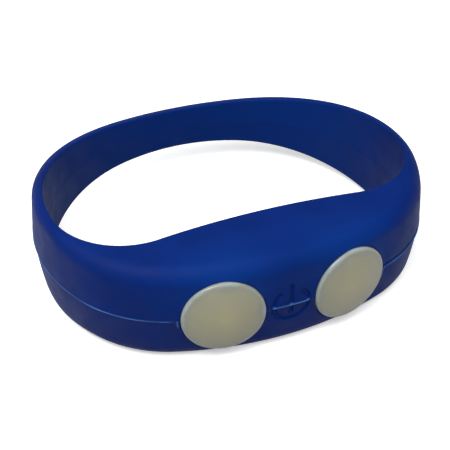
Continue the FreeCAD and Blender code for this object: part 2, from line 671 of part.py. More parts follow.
def door_screws():
    seat = MODULE_BACK - SCREW_HEAD
    return Part.Compound([screw(x, MIDDLE, seat, SCREW_LENGTH)
                          for x in (-DOOR_SCREW_X, DOOR_SCREW_X)])


def board_screws():
    return Part.Compound([screw(side * BOARD_SCREW_X, MIDDLE + side * BOARD_SCREW_Z,
                                BOARD_BACK, BOARD_SCREW_LENGTH) for side in (-1, 1)])


def build():
    band, pad = silicone()
    return {
        "silicone_band": band,
        "press_pad": pad,
        "button_plunger": plunger(),
        "light_lens_left": along_lens(lens(), -1),
        "light_lens_right": along_lens(lens(), 1),
        "front_shell": front_shell(),
        "back_shell": back_shell(),
        "battery_door": battery_door(),
        "door_screws": door_screws(),
        "board_screws": board_screws(),
        "circuit_board": circuit_board(),
        "led_left": led(-1),
        "led_right": led(1),
        "switch_base": switch_base(),
        "switch_cover": switch_cover(),
        "switch_stem": switch_stem(),
        "controller_chip": controller_chip(),
        "chip_resistors": resistors(),
        "chip_capacitor": capacitor(),
        "coin_cell_left": coin_cell(-1),
        "coin_cell_right": coin_cell(1),
        "cell_contact_left": cell_contact(-1),
        "cell_contact_right": cell_contact(1),
        "cell_bridge_strip": bridge_strip(),
    }


def main():
    os.makedirs("parts", exist_ok=True)
    for name, shape in build().items():
        if not shape.isValid() or shape.Volume <= 0:
            raise ValueError(name + " is not a valid solid")
        shape.exportStep(os.path.join("parts", name + ".step"))
        box = shape.BoundBox
        print("%-20s solids %d  faces %3d  volume %9.2f  x %7.2f %7.2f  y %7.2f %7.2f  z %6.2f %6.2f"
              % (name, len(shape.Solids), len(shape.Faces), shape.Volume,
                 box.XMin, box.XMax, box.YMin, box.YMax, box.ZMin, box.ZMax))


main()
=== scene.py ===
"""Looks of a light-up silicone wristband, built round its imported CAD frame.

The ring lies flat: +Z is up, the light module faces -Y and the origin is under
the middle of the ring at its base. Sizes in the classes are in millimetres, and
MM turns them to the metres that the scene is built in.
"""
from __future__ import annotations

import logging
import math
from dataclasses import dataclass, field
from enum import Enum

import bmesh
import bpy
import numpy as np
from mathutils import Matrix, Vector

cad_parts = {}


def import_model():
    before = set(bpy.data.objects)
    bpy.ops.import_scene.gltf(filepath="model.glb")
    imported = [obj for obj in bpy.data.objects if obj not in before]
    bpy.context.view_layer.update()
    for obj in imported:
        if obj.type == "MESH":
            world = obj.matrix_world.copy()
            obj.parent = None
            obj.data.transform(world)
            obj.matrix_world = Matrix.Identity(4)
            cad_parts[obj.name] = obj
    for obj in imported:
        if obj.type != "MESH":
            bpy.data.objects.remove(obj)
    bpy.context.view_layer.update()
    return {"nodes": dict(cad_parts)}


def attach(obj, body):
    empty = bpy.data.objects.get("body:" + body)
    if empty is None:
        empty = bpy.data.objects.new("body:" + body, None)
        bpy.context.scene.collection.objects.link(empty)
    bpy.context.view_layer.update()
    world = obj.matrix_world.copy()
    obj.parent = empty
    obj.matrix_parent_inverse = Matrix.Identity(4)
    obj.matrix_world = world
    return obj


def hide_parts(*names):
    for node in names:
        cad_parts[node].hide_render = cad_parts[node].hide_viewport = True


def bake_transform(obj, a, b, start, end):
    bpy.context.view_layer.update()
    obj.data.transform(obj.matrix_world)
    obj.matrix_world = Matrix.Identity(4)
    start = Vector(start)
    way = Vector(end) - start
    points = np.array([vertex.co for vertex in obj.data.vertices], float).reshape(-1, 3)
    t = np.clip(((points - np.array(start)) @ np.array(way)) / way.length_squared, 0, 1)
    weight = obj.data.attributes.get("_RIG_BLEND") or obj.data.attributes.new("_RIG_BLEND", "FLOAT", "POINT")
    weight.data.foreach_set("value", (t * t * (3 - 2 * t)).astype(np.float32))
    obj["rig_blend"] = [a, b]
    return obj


LOG = logging.getLogger("wristband")
MM = 0.001
ALONG_Y = Matrix.Rotation(math.radians(90.0), 4, "X")


class Body(Enum):
    """The moving bodies of the wristband."""

    BAND = "wristband"
    BUTTON = "button"
    STEM = "switch_stem"


class Side(Enum):
    """The wearer's two sides of the light module."""

    LEFT = -1
    RIGHT = 1


# ------------------------------------------------------------------ helpers
def linear(hex_colour: str) -> tuple[float, float, float, float]:
    """Turn an sRGB hex colour into the linear colour that a shader takes.

    Args:
        hex_colour: six hex digits, with or without a leading '#'.

    Returns:
        Red, green, blue and alpha, each from 0 to 1.
    """
    digits = hex_colour.lstrip("#")
    channels = [int(digits[k:k + 2], 16) / 255 for k in (0, 2, 4)]
    levels = [c / 12.92 if c <= 0.04045 else ((c + 0.055) / 1.055) ** 2.4 for c in channels]
    return (*levels, 1.0)


def add_node(tree: bpy.types.NodeTree, kind: str, links: dict[str | int, object] | None = None,
             **settings: object) -> bpy.types.Node:
    """Add one shader node with its settings, values and links.

    Args:
        tree: the material's or world's node tree.
        kind: the node's type name, such as "ShaderNodeBump".
        links: input name or number to an output socket, or to a plain value.
        **settings: attributes of the node itself.

    Returns:
        The new node.
    """
    node = tree.nodes.new(kind)
    for name, value in settings.items():
        setattr(node, name, value)
    for name, value in (links or {}).items():
        socket = node.inputs[name]
        if isinstance(value, bpy.types.NodeSocket):
            tree.links.new(value, socket)
        else:
            socket.default_value = value
    return node


def new_material(name: str) -> tuple[bpy.types.Material, bpy.types.NodeTree]:
    """Start a material with an empty node tree.

    Args:
        name: the material's name.

    Returns:
        The material and its tree.
    """
    made = bpy.data.materials.new(name)
    made.use_nodes = True
    made.node_tree.nodes.clear()
    return made, made.node_tree


def smooth(share: np.ndarray) -> np.ndarray:
    """Ease shares from 0 to 1 in and out."""
    return share * share * (3 - 2 * share)


def make_object(name: str, mesh: bpy.types.Mesh) -> bpy.types.Object:
    """Put a finished mesh into the scene as an object at the origin.

    Args:
        name: the object's name.
        mesh: its mesh, with its place in it.

    Returns:
        The new object.
    """
    piece = bpy.data.objects.new(name, mesh)
    bpy.context.scene.collection.objects.link(piece)
    return piece


def finish_mesh(name: str, shape: bmesh.types.BMesh, sharp_degrees: float) -> bpy.types.Mesh:
    """Turn a bmesh into a smooth-shaded mesh with sharp edges above an angle.

    Args:
        name: the mesh's name.
        shape: the bmesh, which is freed here.
        sharp_degrees: edges that turn more than this stay sharp.

    Returns:
        The new mesh.
    """
    mesh = bpy.data.meshes.new(name)
    shape.to_mesh(mesh)
    shape.free()
    mesh.shade_smooth()
    mesh.set_sharp_from_angle(angle=math.radians(sharp_degrees))
    return mesh


def report(piece: bpy.types.Object, body: Body) -> None:
    """Log one piece, its body and its number of faces."""
    LOG.info("%-20s rides on %-12s faces %d", piece.name, body.value, len(piece.data.polygons))


# ------------------------------------------------------------------ outline
@dataclass(frozen=True)
class Arc:
    """One arc of an outline; its angle is that of its normal, measured from -Y."""

    centre_x: float
    centre_y: float
    radius: float
    start: float
    end: float

    @property
    def length(self) -> float:
        """Length of the arc."""
        return abs(self.radius * (self.end - self.start))

    def point(self, angle: float) -> np.ndarray:
        """Point of the arc at an angle of its normal."""
        return np.array([self.centre_x + self.radius * math.sin(angle),
                         self.centre_y - self.radius * math.cos(angle)])


@dataclass
class RingShape:
    """Outline of the ring seen from above, and its height seen from the side."""

    front_radius: float = 66.0
    front_turn: float = 18.5
    corner_turn: float = 44.5
    side_radius: float = 33.2
    corner_tightening: float = 9.6
    back_flattening: float = 18.0
    strap_wall: float = 3.1
    pod_depth: float = 15.7
    wrist_face_radius: float = 145.0
    opening_corner: float = 13.5
    outer_draft: float = 0.55
    opening_draft: float = 0.35
    height: float = 19.8
    back_height: float = 8.0
    taper_start: float = 21.0
    pod_edge: float = 3.0
    back_edge: float = 1.0
    opening_edge: float = 0.4
    outer: list[Arc] = field(init=False)
    inner: list[Arc] = field(init=False)

    def __post_init__(self) -> None:
        """Work out both chains of arcs."""
        corner_radius = self.side_radius - self.corner_tightening
        chain: list[Arc] = []
        x = y = turned = 0.0
        for radius, turn in ((self.front_radius, self.front_turn), (corner_radius, self.corner_turn)):
            centre_x = x - radius * math.sin(turned)
            centre_y = y + radius * math.cos(turned)
            end = turned + math.radians(turn)
            chain.append(Arc(centre_x, centre_y, radius, turned, end))
            x, y = chain[-1].point(end)
            turned = end
        side_x = x - self.side_radius * math.sin(turned)
        side_y = y + self.side_radius * math.cos(turned)
        end = math.pi - math.asin(side_x / self.back_flattening)
        chain.append(Arc(side_x, side_y, self.side_radius, turned, end))
        back_y = side_y + self.back_flattening * math.cos(end)
        chain.append(Arc(0.0, back_y, self.side_radius + self.back_flattening, end, math.pi))
        self.front_y = -(back_y + chain[-1].radius) / 2
        self.outer = [Arc(a.centre_x, a.centre_y + self.front_y, a.radius, a.start, a.end)
                      for a in chain]
        self.inner = self._opening()

    def _opening(self) -> list[Arc]:
        """Arcs of the wrist opening's right half.

        Returns:
            The arcs from the front to the back.
        """
        face_y = self.front_y + self.pod_depth - self.wrist_face_radius
        side, back = self.outer[2], self.outer[3]
        reach = self.wrist_face_radius + self.opening_corner
        inside = side.radius - self.strap_wall - self.opening_corner
        apart = math.hypot(side.centre_x, side.centre_y - face_y)
        along = (reach ** 2 - inside ** 2 + apart ** 2) / (2 * apart)
        aside = math.sqrt(reach ** 2 - along ** 2)
        to_x, to_y = side.centre_x / apart, (side.centre_y - face_y) / apart
        corner_x = along * to_x + aside * to_y
        corner_y = face_y + along * to_y - aside * to_x
        face_end = math.atan2(corner_x, corner_y - face_y)
        corner_end = math.atan2(corner_x - side.centre_x, side.centre_y - corner_y)
        return [
            Arc(0.0, face_y, -self.wrist_face_radius, 0.0, -face_end),
            Arc(corner_x, corner_y, self.opening_corner, -face_end, corner_end),
            Arc(side.centre_x, side.centre_y, side.radius - self.strap_wall, corner_end, side.end),
            Arc(0.0, back.centre_y, back.radius - self.strap_wall, back.start, math.pi),
        ]

    def height_at(self, y: float) -> float:
        """Height of the ring at a place behind the front.

        Args:
            y: the place.

        Returns:
            The height, level over the pod and falling along an arc behind it.
        """
        drop = (self.height - self.back_height) / 2
        start_y = self.front_y + self.taper_start
        run = -self.front_y - start_y
        radius = (run ** 2 + drop ** 2) / (2 * drop)
        past = max(0.0, y - start_y)
        return self.height - 2 * (radius - math.sqrt(radius ** 2 - past ** 2))

    def edge_at(self, y: np.ndarray) -> np.ndarray:
        """Rounding of the outer edge at each place, from the pod's to the back's.

        Args:
            y: the places.

        Returns:
            The heights of the rounded edge.
        """
        run = -2 * self.front_y - self.taper_start
        share = np.clip((y - self.front_y - self.taper_start) / run, 0.0, 1.0)
        return self.pod_edge + (self.back_edge - self.pod_edge) * share


# ------------------------------------------------------------- silicone band
@dataclass
class SiliconeBand:
    """The one-piece silicone ring: outer skin, wrist opening, lens holes and pocket."""

    ring: RingShape = field(default_factory=RingShape)
    lens_offset: float = 12.2
    hole_radius: float = 7.52
    lip_round: float = 0.2
    lip_rise: float = 0.08
    lip_width: float = 0.45
    belly_above: float = 0.15
    belly_below: float = 0.3
    mould_step: float = 0.1
    step_run: float = 0.3
    least_flat: float = 0.2
    blend_sharpness: float = 8.0
    flash_rise: float = 0.14
    flash_width: float = 0.13
    flash_starts: float = 20.5
    flash_fade: float = 1.5
    flash_least: float = 0.05
    heavy_width: float = 0.2
    ripple: float = 0.3
    ripple_fast: tuple[float, float] = (0.61, 0.8)
    ripple_slow: tuple[float, float] = (0.23, 0.4)
    bridge_past: float = 0.3
    bridge_fade: float = 0.4
    bridge_spread: float = 1.3
    tail_left: float = 1.7
    tail_right: float = 3.4
    tail_reach: float = 1.4
    tail_off: float = 0.32
    tail_width: float = 0.14
    tail_top: float = 0.1
    tail_share: float = 0.8
    crease_height: float = 0.42
    crease_width: float = 0.2
    crease_share: float = 0.85
    crease_starts: float = 19.4
    crease_fade: float = 0.6
    crease_end: float = 8.0
    seam_rise: float = 0.03
    # Painted light in the silicone's colour: where the lighter tone over the module, on its roll and in the
    # strap falls.
    painted_light_reach: float = 4.5
    painted_light_low: float = -2.0
    painted_light_rise: float = 8.0
    painted_light_depth: float = 12.0
    painted_light_fade: float = 8.0
    rim_painted_light: float = 0.6
    roll_painted_light: float = 0.22
    roll_height: float = 8.5
    roll_width: float = 3.0
    roll_half: float = 24.0
    strap_painted_light: float = 0.6
    strap_painted_light_starts: float = -2.0
    strap_painted_light_run: float = 14.0
    symbol_depth: float = 0.4
    symbol_radius: float = 3.35
    symbol_stroke: float = 0.8
    symbol_open: float = 40.0
    symbol_soft: float = 0.13
    bar_low: float = -1.7
    bar_high: float = 4.0
    hole_depth: float = 3.2
    floor_drop: float = 0.6
    pocket_front: float = 2.4
    pocket_back: float = 13.0
    pocket_half: float = 21.7
    pocket_height: float = 15.8
    pocket_corner: float = 2.6
    window_start: float = 12.5
    window_half: float = 19.41
    window_height: float = 15.42
    window_reach: float = 12.0
    plunger_radius: float = 2.65
    press_floor: float = 1.6
    plunger_room: float = 2.4
    frame_reach: float = 26.0
    fine_reach: float = 5.0
    press_start: float = 1.7
    press_end: float = 0.35
    name: str = "silicone_wristband"

    def __post_init__(self) -> None:
        """Work out what follows from the sizes."""
        self.middle = self.ring.height / 2
        self.wall = self.middle - self.ring.pod_edge
        self.circle = self.hole_radius + self.lip_round
        self.block = self.circle / math.sqrt(2)
        self.lens_turn = math.asin(self.lens_offset / self.ring.front_radius)
        self.axis = np.array([math.sin(self.lens_turn), -math.cos(self.lens_turn)])
        self.across = np.array([math.cos(self.lens_turn), math.sin(self.lens_turn)])
        self.arc_centre = self.ring.front_y + self.ring.front_radius

    # -- the grid of stations round the ring and rows round its section
    def joint_distance(self) -> float:
        """Outer distance from the front to where outer and inner arcs share a centre."""
        front, corner, side = self.ring.outer[:3]
        return front.length + corner.length + side.radius * (self.ring.inner[2].start - side.start)

    def stations(self) -> tuple[np.ndarray, int, int]:
        """Distances along the right half where the skin has a column.

        Returns:
            The distances and the columns at the two sides of the lens block.
        """
        front = self.ring.front_radius
        half = front * math.asin(self.block / front)
        near, far = front * self.lens_turn - half, front * self.lens_turn + half
        joint = self.joint_distance()
        side, back = self.ring.outer[2], self.ring.outer[3]
        total = joint + side.radius * (side.end - self.ring.inner[2].start) + back.length
        marks = [(0.0, 0), (self.fine_reach, 40), (near, 7), (far, 36), (far + self.tail_reach, 10),
                 (self.frame_reach, 20), (joint, 26), (total, 46)]
        pieces = [np.array([0.0])]
        counts = [0]
        for (low, _), (high, count) in zip(marks, marks[1:]):
            pieces.append(np.linspace(low, high, count + 1)[1:])
            counts.append(counts[-1] + count)
        return np.concatenate(pieces), counts[2], counts[3]

    def rows(self) -> tuple[np.ndarray, int]:
        """Section coordinates of one half, from the outer to the inner parting line.

        0 to 1 is the outer wall, 1 to 2 its rounded edge, 2 to 3 the top face,
        3 to 4 the edge of the opening and 4 to 5 the wall of the opening.

        Returns:
            The coordinates and the row at the top of the lens block.
        """
        ridge = np.array([0.0, 0.07, 0.14, 0.22, 0.32, 0.44])
        fine = np.linspace(ridge[-1], 4.6, 33)[1:]
        rest = np.linspace(4.6, self.block, 5)[1:]
        wall = np.concatenate([ridge, fine, rest]) / self.wall
        block_row = len(wall) - 1
        parts = [wall, np.linspace(wall[-1], 1.0, 3)[1:], np.linspace(1.0, 2.0, 13)[1:],
                 np.linspace(2.0, 2.3, 3)[1:], np.linspace(2.3, 3.0, 9)[1:],
                 np.linspace(3.0, 4.0, 5)[1:], np.linspace(4.0, 4.94, 14)[1:],
                 np.array([4.97, 4.985, 5.0])]
        return np.concatenate(parts), block_row

    def plan(self, distance: np.ndarray) -> tuple[np.ndarray, ...]:
        """Outer points, outward normals, inner points and directions into the opening.

        Args:
            distance: along the right half's outer outline, any shape.

        Returns:
            Four arrays with a last axis of x and y.
        """
        joint = self.joint_distance()
        bounds = np.cumsum([0.0] + [arc.length for arc in self.ring.outer])
        outer = np.zeros(distance.shape + (2,))
        normal = np.zeros_like(outer)
        for k, arc in enumerate(self.ring.outer):
            last = k == len(self.ring.outer) - 1
            here = (distance >= bounds[k]) & ((distance < bounds[k + 1]) | last)
            angle = arc.start + (distance[here] - bounds[k]) / arc.radius
            normal[here] = np.stack([np.sin(angle), -np.cos(angle)], -1)
            outer[here] = np.array([arc.centre_x, arc.centre_y]) + arc.radius * normal[here]
        inner = outer - normal * self.ring.strap_wall
        void = -normal
        face, corner = self.ring.inner[:2]
        along = distance / joint * (face.length + corner.length)
        for arc, low, here in ((face, 0.0, (distance < joint) & (along < face.length)),
                               (corner, face.length, (distance < joint) & (along >= face.length))):
            angle = arc.start + (along[here] - low) / arc.radius
            void[here] = -np.stack([np.sin(angle), -np.cos(angle)], -1)
            inner[here] = np.array([arc.centre_x, arc.centre_y]) - arc.radius * void[here]
        return outer, normal, inner, void

    def heights(self, y: np.ndarray) -> np.ndarray:
        """Half the ring's height at each place behind the front."""
        return np.vectorize(self.ring.height_at)(y) / 2

    def belly(self, row: np.ndarray) -> np.ndarray:
        """Curve of the outer wall, as inward millimetres per square millimetre of height."""
        return np.where(row < 0, self.belly_below, self.belly_above) / self.wall ** 2

    def outer_side(self, row: np.ndarray, half: np.ndarray,
                   edge: np.ndarray) -> tuple[np.ndarray, np.ndarray]:
        """Outer wall and its rounded edge, which runs on from the wall's lean.

        Args:
            row: section coordinates.
            half: half the ring's height there.
            edge: height of the rounded edge there.

        Returns:
            How far inward and how far from the parting line each point lies.
        """
        size = np.abs(row)
        lean, belly = self.ring.outer_draft / self.middle, self.belly(row)
        top = half - edge
        wall_z = np.clip(size, 0.0, 1.0) * top
        tilt = np.arctan(lean + 2 * belly * top)
        radius = edge / (1 - np.sin(tilt))
        turn = tilt + np.clip(size - 1.0, 0.0, 1.0) * (math.pi / 2 - tilt)
        inward = lean * wall_z + belly * wall_z ** 2 + radius * (np.cos(tilt) - np.cos(turn))
        return inward, wall_z + radius * (np.sin(turn) - np.sin(tilt))

    def fit_edge(self, row: np.ndarray, half: np.ndarray, edge: np.ndarray,
                 room: np.ndarray) -> np.ndarray:
        """Soften the outer edge less where the ring is too thin for all of it.

        Args:
            row: section coordinates, for their sign alone.
            half: half the ring's height there.
            edge: height of the rounded edge where there is room for it.
            room: width from the outer wall to the opening's own edge.

        Returns:
            The height that leaves a little of the top face flat.
        """
        taken = self.outer_side(np.sign(row) * 2.0, half, edge)[0]
        widest = edge * (room - self.least_flat) / taken
        power = self.blend_sharpness
        return (edge ** -power + widest ** -power) ** (-1 / power)

    def surface(self, distance: np.ndarray, row: np.ndarray) -> np.ndarray:
        """Points of the skin of the right half.

        Args:
            distance: along the outer outline.
            row: section coordinate, negative below the parting line.

        Returns:
            Points with a last axis of x, y and z.
        """
        outer, normal, inner, void = self.plan(distance)
        size = np.abs(row)
        small = self.ring.opening_edge
        half = self.heights(outer[..., 1])
        slant = self.ring.opening_draft / self.middle
        room = np.linalg.norm(outer - inner, axis=-1) - slant * half - small
        edge = self.fit_edge(row, half, self.ring.edge_at(outer[..., 1]), room)
        inward, rise = self.outer_side(row, half, edge)
        on_outer = outer - normal * inward[..., None]
        start = outer - normal * self.outer_side(np.sign(row) * 2.0, half, edge)[0][..., None]
        inner_half = self.heights(inner[..., 1])
        end = inner - void * (slant * inner_half + small)[..., None]
        across = np.clip(size - 2.0, 0.0, 1.0)[..., None]
        on_top = start + (end - start) * across
        bend = np.clip(size - 3.0, 0.0, 1.0) * math.pi / 2
        down = np.clip(size - 4.0, 0.0, 1.0)
        inner_z = (1 - down) * (inner_half - small)
        into = np.where(size <= 4.0, slant * inner_half + small * (1 - np.sin(bend)), slant * inner_z)
        on_inner = inner - void * into[..., None]
        flat = np.where((size <= 2.0)[..., None], on_outer,
                        np.where((size <= 3.0)[..., None], on_top, on_inner))
        local = self.heights(flat[..., 1])
        below_top = np.where(size <= 2.0, half - rise,
                             np.where(size <= 3.0, 0.0, small * (1 - np.cos(bend))))
        height = np.where(size <= 1.0, rise, np.where(size <= 4.0, local - below_top, inner_z))
        return np.concatenate([flat, (self.middle + np.sign(row) * height)[..., None]], -1)

    def row_beside_lens(self, across: np.ndarray, row: np.ndarray) -> np.ndarray:
        """Section coordinate where the lens circle crosses each column.

        Args:
            across: turns from the lens axis round the front arc's centre.
            row: section coordinates, for their sign alone.

        Returns:
            The coordinates without their sign, never less than the lens block's.
        """
        side = np.where(row < 0, -1.0, 1.0)
        edge = self.ring.pod_edge
        tilt = np.arctan(self.ring.outer_draft / self.middle + 2 * self.belly(row) * self.wall)
        radius = edge / (1 - np.sin(tilt))
        size = np.full(across.shape, self.block / self.wall)
        for _ in range(6):
            inward = self.outer_side(side * size, self.middle, edge)[0]
            aside = (self.ring.front_radius - inward) * np.sin(across)
            tall = np.sqrt(np.clip(self.circle ** 2 - aside ** 2, self.block ** 2, None))
            turn = np.arcsin(np.clip((tall - self.wall) / radius + np.sin(tilt), 0.0, 1.0))
            size = np.where(tall <= self.wall, tall / self.wall,
                            1.0 + (turn - tilt) / (math.pi / 2 - tilt))
        return size

    def bend_round_lens(self, distance: np.ndarray, row: np.ndarray,
                        sides: tuple[float, float], top: float) -> tuple[np.ndarray, np.ndarray]:
        """Bend the grid's lines so that the square block of it becomes the lens circle.

        Args:
            distance: along the right half's outline.
            row: section coordinates.
            sides: distances of the block's two sides.
            top: section coordinate of the block's top.

        Returns:
            The new distances and section coordinates.
        """
        front, edge = self.ring.front_radius, self.ring.pod_edge
        centre = front * self.lens_turn
        near, far = sides
        size = np.abs(row)
        knots = np.array([0.0, 1.0, 2.0, 2.3, 3.0])
        roll = edge * math.pi / 2
        face = self.ring.pod_depth - edge - self.ring.opening_edge
        lengths = np.cumsum([0.0, self.wall, roll, 0.3 * face, 0.7 * face])
        # columns beside the lens lean towards or away from it
        tall = np.minimum(size, top) * self.wall
        half = np.sqrt(np.clip(self.circle ** 2 - tall ** 2, self.block ** 2, None))
        inward = self.ring.outer_draft / self.middle * tall + self.belly(row) * tall ** 2
        reach = front * np.arcsin(half / (front - inward))
        low, high = centre - reach, centre + reach
        over = low + (distance - near) * (high - low) / (far - near)
        past = high + (distance - far) * (self.frame_reach - high) / (self.frame_reach - far)
        moved = np.where(distance < near, distance * low / near, np.where(distance < far, over, past))
        level = (size <= top + 1e-9) & (distance < self.frame_reach)
        # rows above and below the lens bulge over it
        target = np.interp(self.row_beside_lens((distance - centre) / front, row), knots, lengths)
        length = np.interp(size, knots, lengths)
        start, end = top * self.wall, lengths[3]
        bulged = np.where(length < start, length * target / start,
                          target + (length - start) * (end - target) / (end - start))
        column = (distance >= near - 1e-9) & (distance <= far + 1e-9) & (size < 2.3)
        new_row = np.where(column, np.sign(row) * np.interp(bulged, lengths, knots), row)
        return np.where(level, moved, distance), new_row

    # -- relief that rides on the skin
    def symbol_distance(self, x: np.ndarray, z: np.ndarray) -> np.ndarray:
        """Signed distance to the power mark's strokes, negative inside them.

        Args:
            x: places across the pod.
            z: places above the parting line.

        Returns:
            The distances.
        """
        half = self.symbol_stroke / 2
        turn = np.abs(np.arctan2(x, z))
        gap = math.radians(self.symbol_open)
        round_way = np.abs(np.hypot(x, z) - self.symbol_radius)
        tip_x, tip_z = self.symbol_radius * math.sin(gap), self.symbol_radius * math.cos(gap)
        tip = np.hypot(np.abs(x) - tip_x, z - tip_z)
        ring = np.where(turn > gap, round_way, tip) - half
        bar = np.hypot(x, z - np.clip(z, self.bar_low, self.bar_high)) - half
        return np.minimum(ring, bar)

    def flash(self, points: np.ndarray, row: np.ndarray, along: np.ndarray) -> np.ndarray:
        """Share of the mould flash at each point: its line round the ring, and its tails.

        Args:
            points: places on the plain skin.
            row: section coordinates.
            along: signed distance round the ring.

        Returns:
            Shares from 0 to 1.
        """
        x, z = points[:, 0], points[:, 2] - self.middle
        heavy = (x > self.lens_offset) & (z < 0)
        line = np.exp(-(z / np.where(heavy, self.heavy_width, self.flash_width)) ** 2)
        fast, slow = (np.sin(along * pace + start) for pace, start in (self.ripple_fast, self.ripple_slow))
        uneven = 1.0 - self.ripple + self.ripple * fast * slow
        out = np.abs(x)
        starts = np.where(x < 0, self.flash_starts, self.crease_starts)
        shown = np.clip((out - starts) / self.flash_fade, 0.0, 1.0) + np.clip(
            (self.symbol_radius + self.bridge_past - out) / self.bridge_fade, 0.0, 1.0)
        tail = np.exp(-((self.off_lens(points) - self.tail_off) / self.tail_width) ** 2)
        length = np.where(x < 0, self.tail_left, self.tail_right)
        below = np.clip(1.0 - (z / length) ** 4, 0.0, 1.0) * (z < self.tail_top)
        tail *= (out > self.lens_offset) * below * self.tail_share
        # the share raises the flash and paints it paler, partly as a painted highlight on its ridge
        share = line * uneven * np.clip(shown, self.flash_least, 1.0) + tail
        return np.where(np.abs(row) < 1.0, np.clip(share, 0.0, 1.0), 0.0)

    def off_lens(self, points: np.ndarray) -> np.ndarray:
        """Distance of each point outside the nearer lens hole, seen along its axis.

        Args:
            points: places on the plain skin.

        Returns:
            The distances, negative inside the hole.
        """
        y, z = points[:, 1], points[:, 2] - self.middle
        aside = np.abs(points[:, 0]) * self.across[0] + (y - self.arc_centre) * self.across[1]
        return np.hypot(aside, z) - self.circle

    def glow(self, points: np.ndarray, row: np.ndarray) -> np.ndarray:
        """Share of painted light: a lighter tone painted over the white module, along its roll and towards
        the back of the strap, standing in for light through thin silicone.

        Args:
            points: places on the plain skin.
            row: section coordinates.

        Returns:
            Shares from 0 to 1.
        """
        z = points[:, 2] - self.middle
        above = smooth(np.clip((z - self.painted_light_low) / self.painted_light_rise, 0.0, 1.0))
        near = np.exp(-(np.clip(self.off_lens(points), 0.0, None) / self.painted_light_reach) ** 2)
        depth = points[:, 1] - self.ring.front_y
        roll = np.exp(-((z - self.roll_height) / self.roll_width) ** 2)
        roll *= np.exp(-(points[:, 0] / self.roll_half) ** 4)
        # painted light near the lens holes above the parting line, and in a band along the roll
        pod = self.rim_painted_light * near * above + self.roll_painted_light * roll
        pod *= np.clip((self.painted_light_depth - depth) / self.painted_light_fade, 0.0, 1.0)
        # painted light on the opening's wall, growing towards the back of the strap
        behind = (points[:, 1] - self.strap_painted_light_starts) / self.strap_painted_light_run
        strap = self.strap_painted_light * np.clip(behind, 0.0, 1.0)
        return np.where(np.abs(row) > 3.5, strap, np.clip(pod, 0.0, 1.0))

    def mark(self, points: np.ndarray, row: np.ndarray) -> np.ndarray:
        """Share of what is sunk: the power mark, and a crease over the heavy end of the flash.

        Args:
            points: places on the plain skin.
            row: section coordinates.

        Returns:
            Shares from 0 to 1.
        """
        x, z = points[:, 0], points[:, 2] - self.middle
        depth = np.clip(0.5 - self.symbol_distance(x, z) / (2 * self.symbol_soft), 0.0, 1.0)
        bridged = 1.0 - np.exp(-(z / (self.bridge_spread * self.flash_width)) ** 2)
        front = (np.abs(x) < self.fine_reach) & (np.abs(row) < 1.5) & (points[:, 1] < 0)
        sign = np.where(front, smooth(depth) * bridged, 0.0)
        # the crease is sunk, and the colour there takes the painted recess tone
        crease = np.exp(-((z - self.crease_height) / self.crease_width) ** 2) * self.crease_share
        crease *= np.clip((x - self.crease_starts) / self.crease_fade, 0.0, 1.0) * (np.abs(row) < 1.0)
        crease *= np.clip((self.crease_end - points[:, 1]) / self.crease_end, 0.0, 1.0)
        return np.maximum(sign, crease)

    def relief(self, points: np.ndarray, row: np.ndarray, flash: np.ndarray,
               mark: np.ndarray) -> np.ndarray:
        """How far each point of the skin stands proud of its plain form.

        Args:
            points: places on the plain skin.
            row: section coordinates.
            flash: share of the mould flash at each point.
            mark: share of the sunk mark at each point.

        Returns:
            Heights above the plain skin.
        """
        y, z = points[:, 1], points[:, 2] - self.middle
        size = np.abs(row)
        front = (size < 2.5) & (y < self.ring.front_y + self.ring.pod_depth / 2)
        lip = self.lip_rise * np.exp(-(self.off_lens(points) / self.lip_width) ** 2)
        height = np.where(front, lip, 0.0) + self.flash_rise * flash
        below = np.clip(-row * self.wall / self.step_run, 0.0, 1.0) * np.clip(1.5 - size, 0.0, 0.5) * 2
        height -= self.mould_step * below
        seam = self.seam_rise * np.exp(-(z / self.flash_width) ** 2)
        height += np.where(size > 4.0, seam, 0.0)
        return height - self.symbol_depth * mark

    def skin(self) -> bmesh.types.BMesh:
        """Bend one grid round the ring, with round holes where the lenses sit.

        Returns:
            The open skin, with its flash, glow (painted light) and mark shares on its vertices.
        """
        right, near, far = self.stations()
        upper, top = self.rows()
        columns = np.concatenate([-right[:0:-1], right])
        rows = np.concatenate([-upper[:0:-1], upper])
        shape = bmesh.new()
        bmesh.ops.create_grid(shape, x_segments=len(columns) - 1, y_segments=len(rows) - 1, size=0.5)
        shape.verts.ensure_lookup_table()
        flat = np.array([vert.co[:2] for vert in shape.verts])
        across = np.rint((flat[:, 0] + 0.5) * (len(columns) - 1)).astype(int)
        up = np.rint((flat[:, 1] + 0.5) * (len(rows) - 1)).astype(int)
        along, row = columns[across], rows[up]
        distance, row = self.bend_round_lens(np.abs(along), row, (right[near], right[far]), upper[top])
        points = self.surface(distance, row)
        points[:, 0] *= np.where(along < 0, -1.0, 1.0)
        side = np.abs(across - len(columns) // 2)
        level = np.abs(up - len(rows) // 2)
        inside = (side > near) & (side < far) & (level < top)
        marks = {"along": np.where(along < 0, -distance, distance), "row": row, "inside": inside}
        layers = {name: shape.verts.layers.float.new(name) for name in (*marks, "flash", "glow", "mark")}
        for k, vert in enumerate(shape.verts):
            vert.co = points[k] * MM
            for name, values in marks.items():
                vert[layers[name]] = float(values[k])
        bmesh.ops.remove_doubles(shape, verts=shape.verts, dist=1e-6)
        bmesh.ops.recalc_face_normals(shape, faces=shape.faces)
        shape.normal_update()
        verts = list(shape.verts)
        places = np.array([vert.co for vert in verts]) / MM
        rows_now = np.array([vert[layers["row"]] for vert in verts])
        flash = self.flash(places, rows_now, np.array([vert[layers["along"]] for vert in verts]))
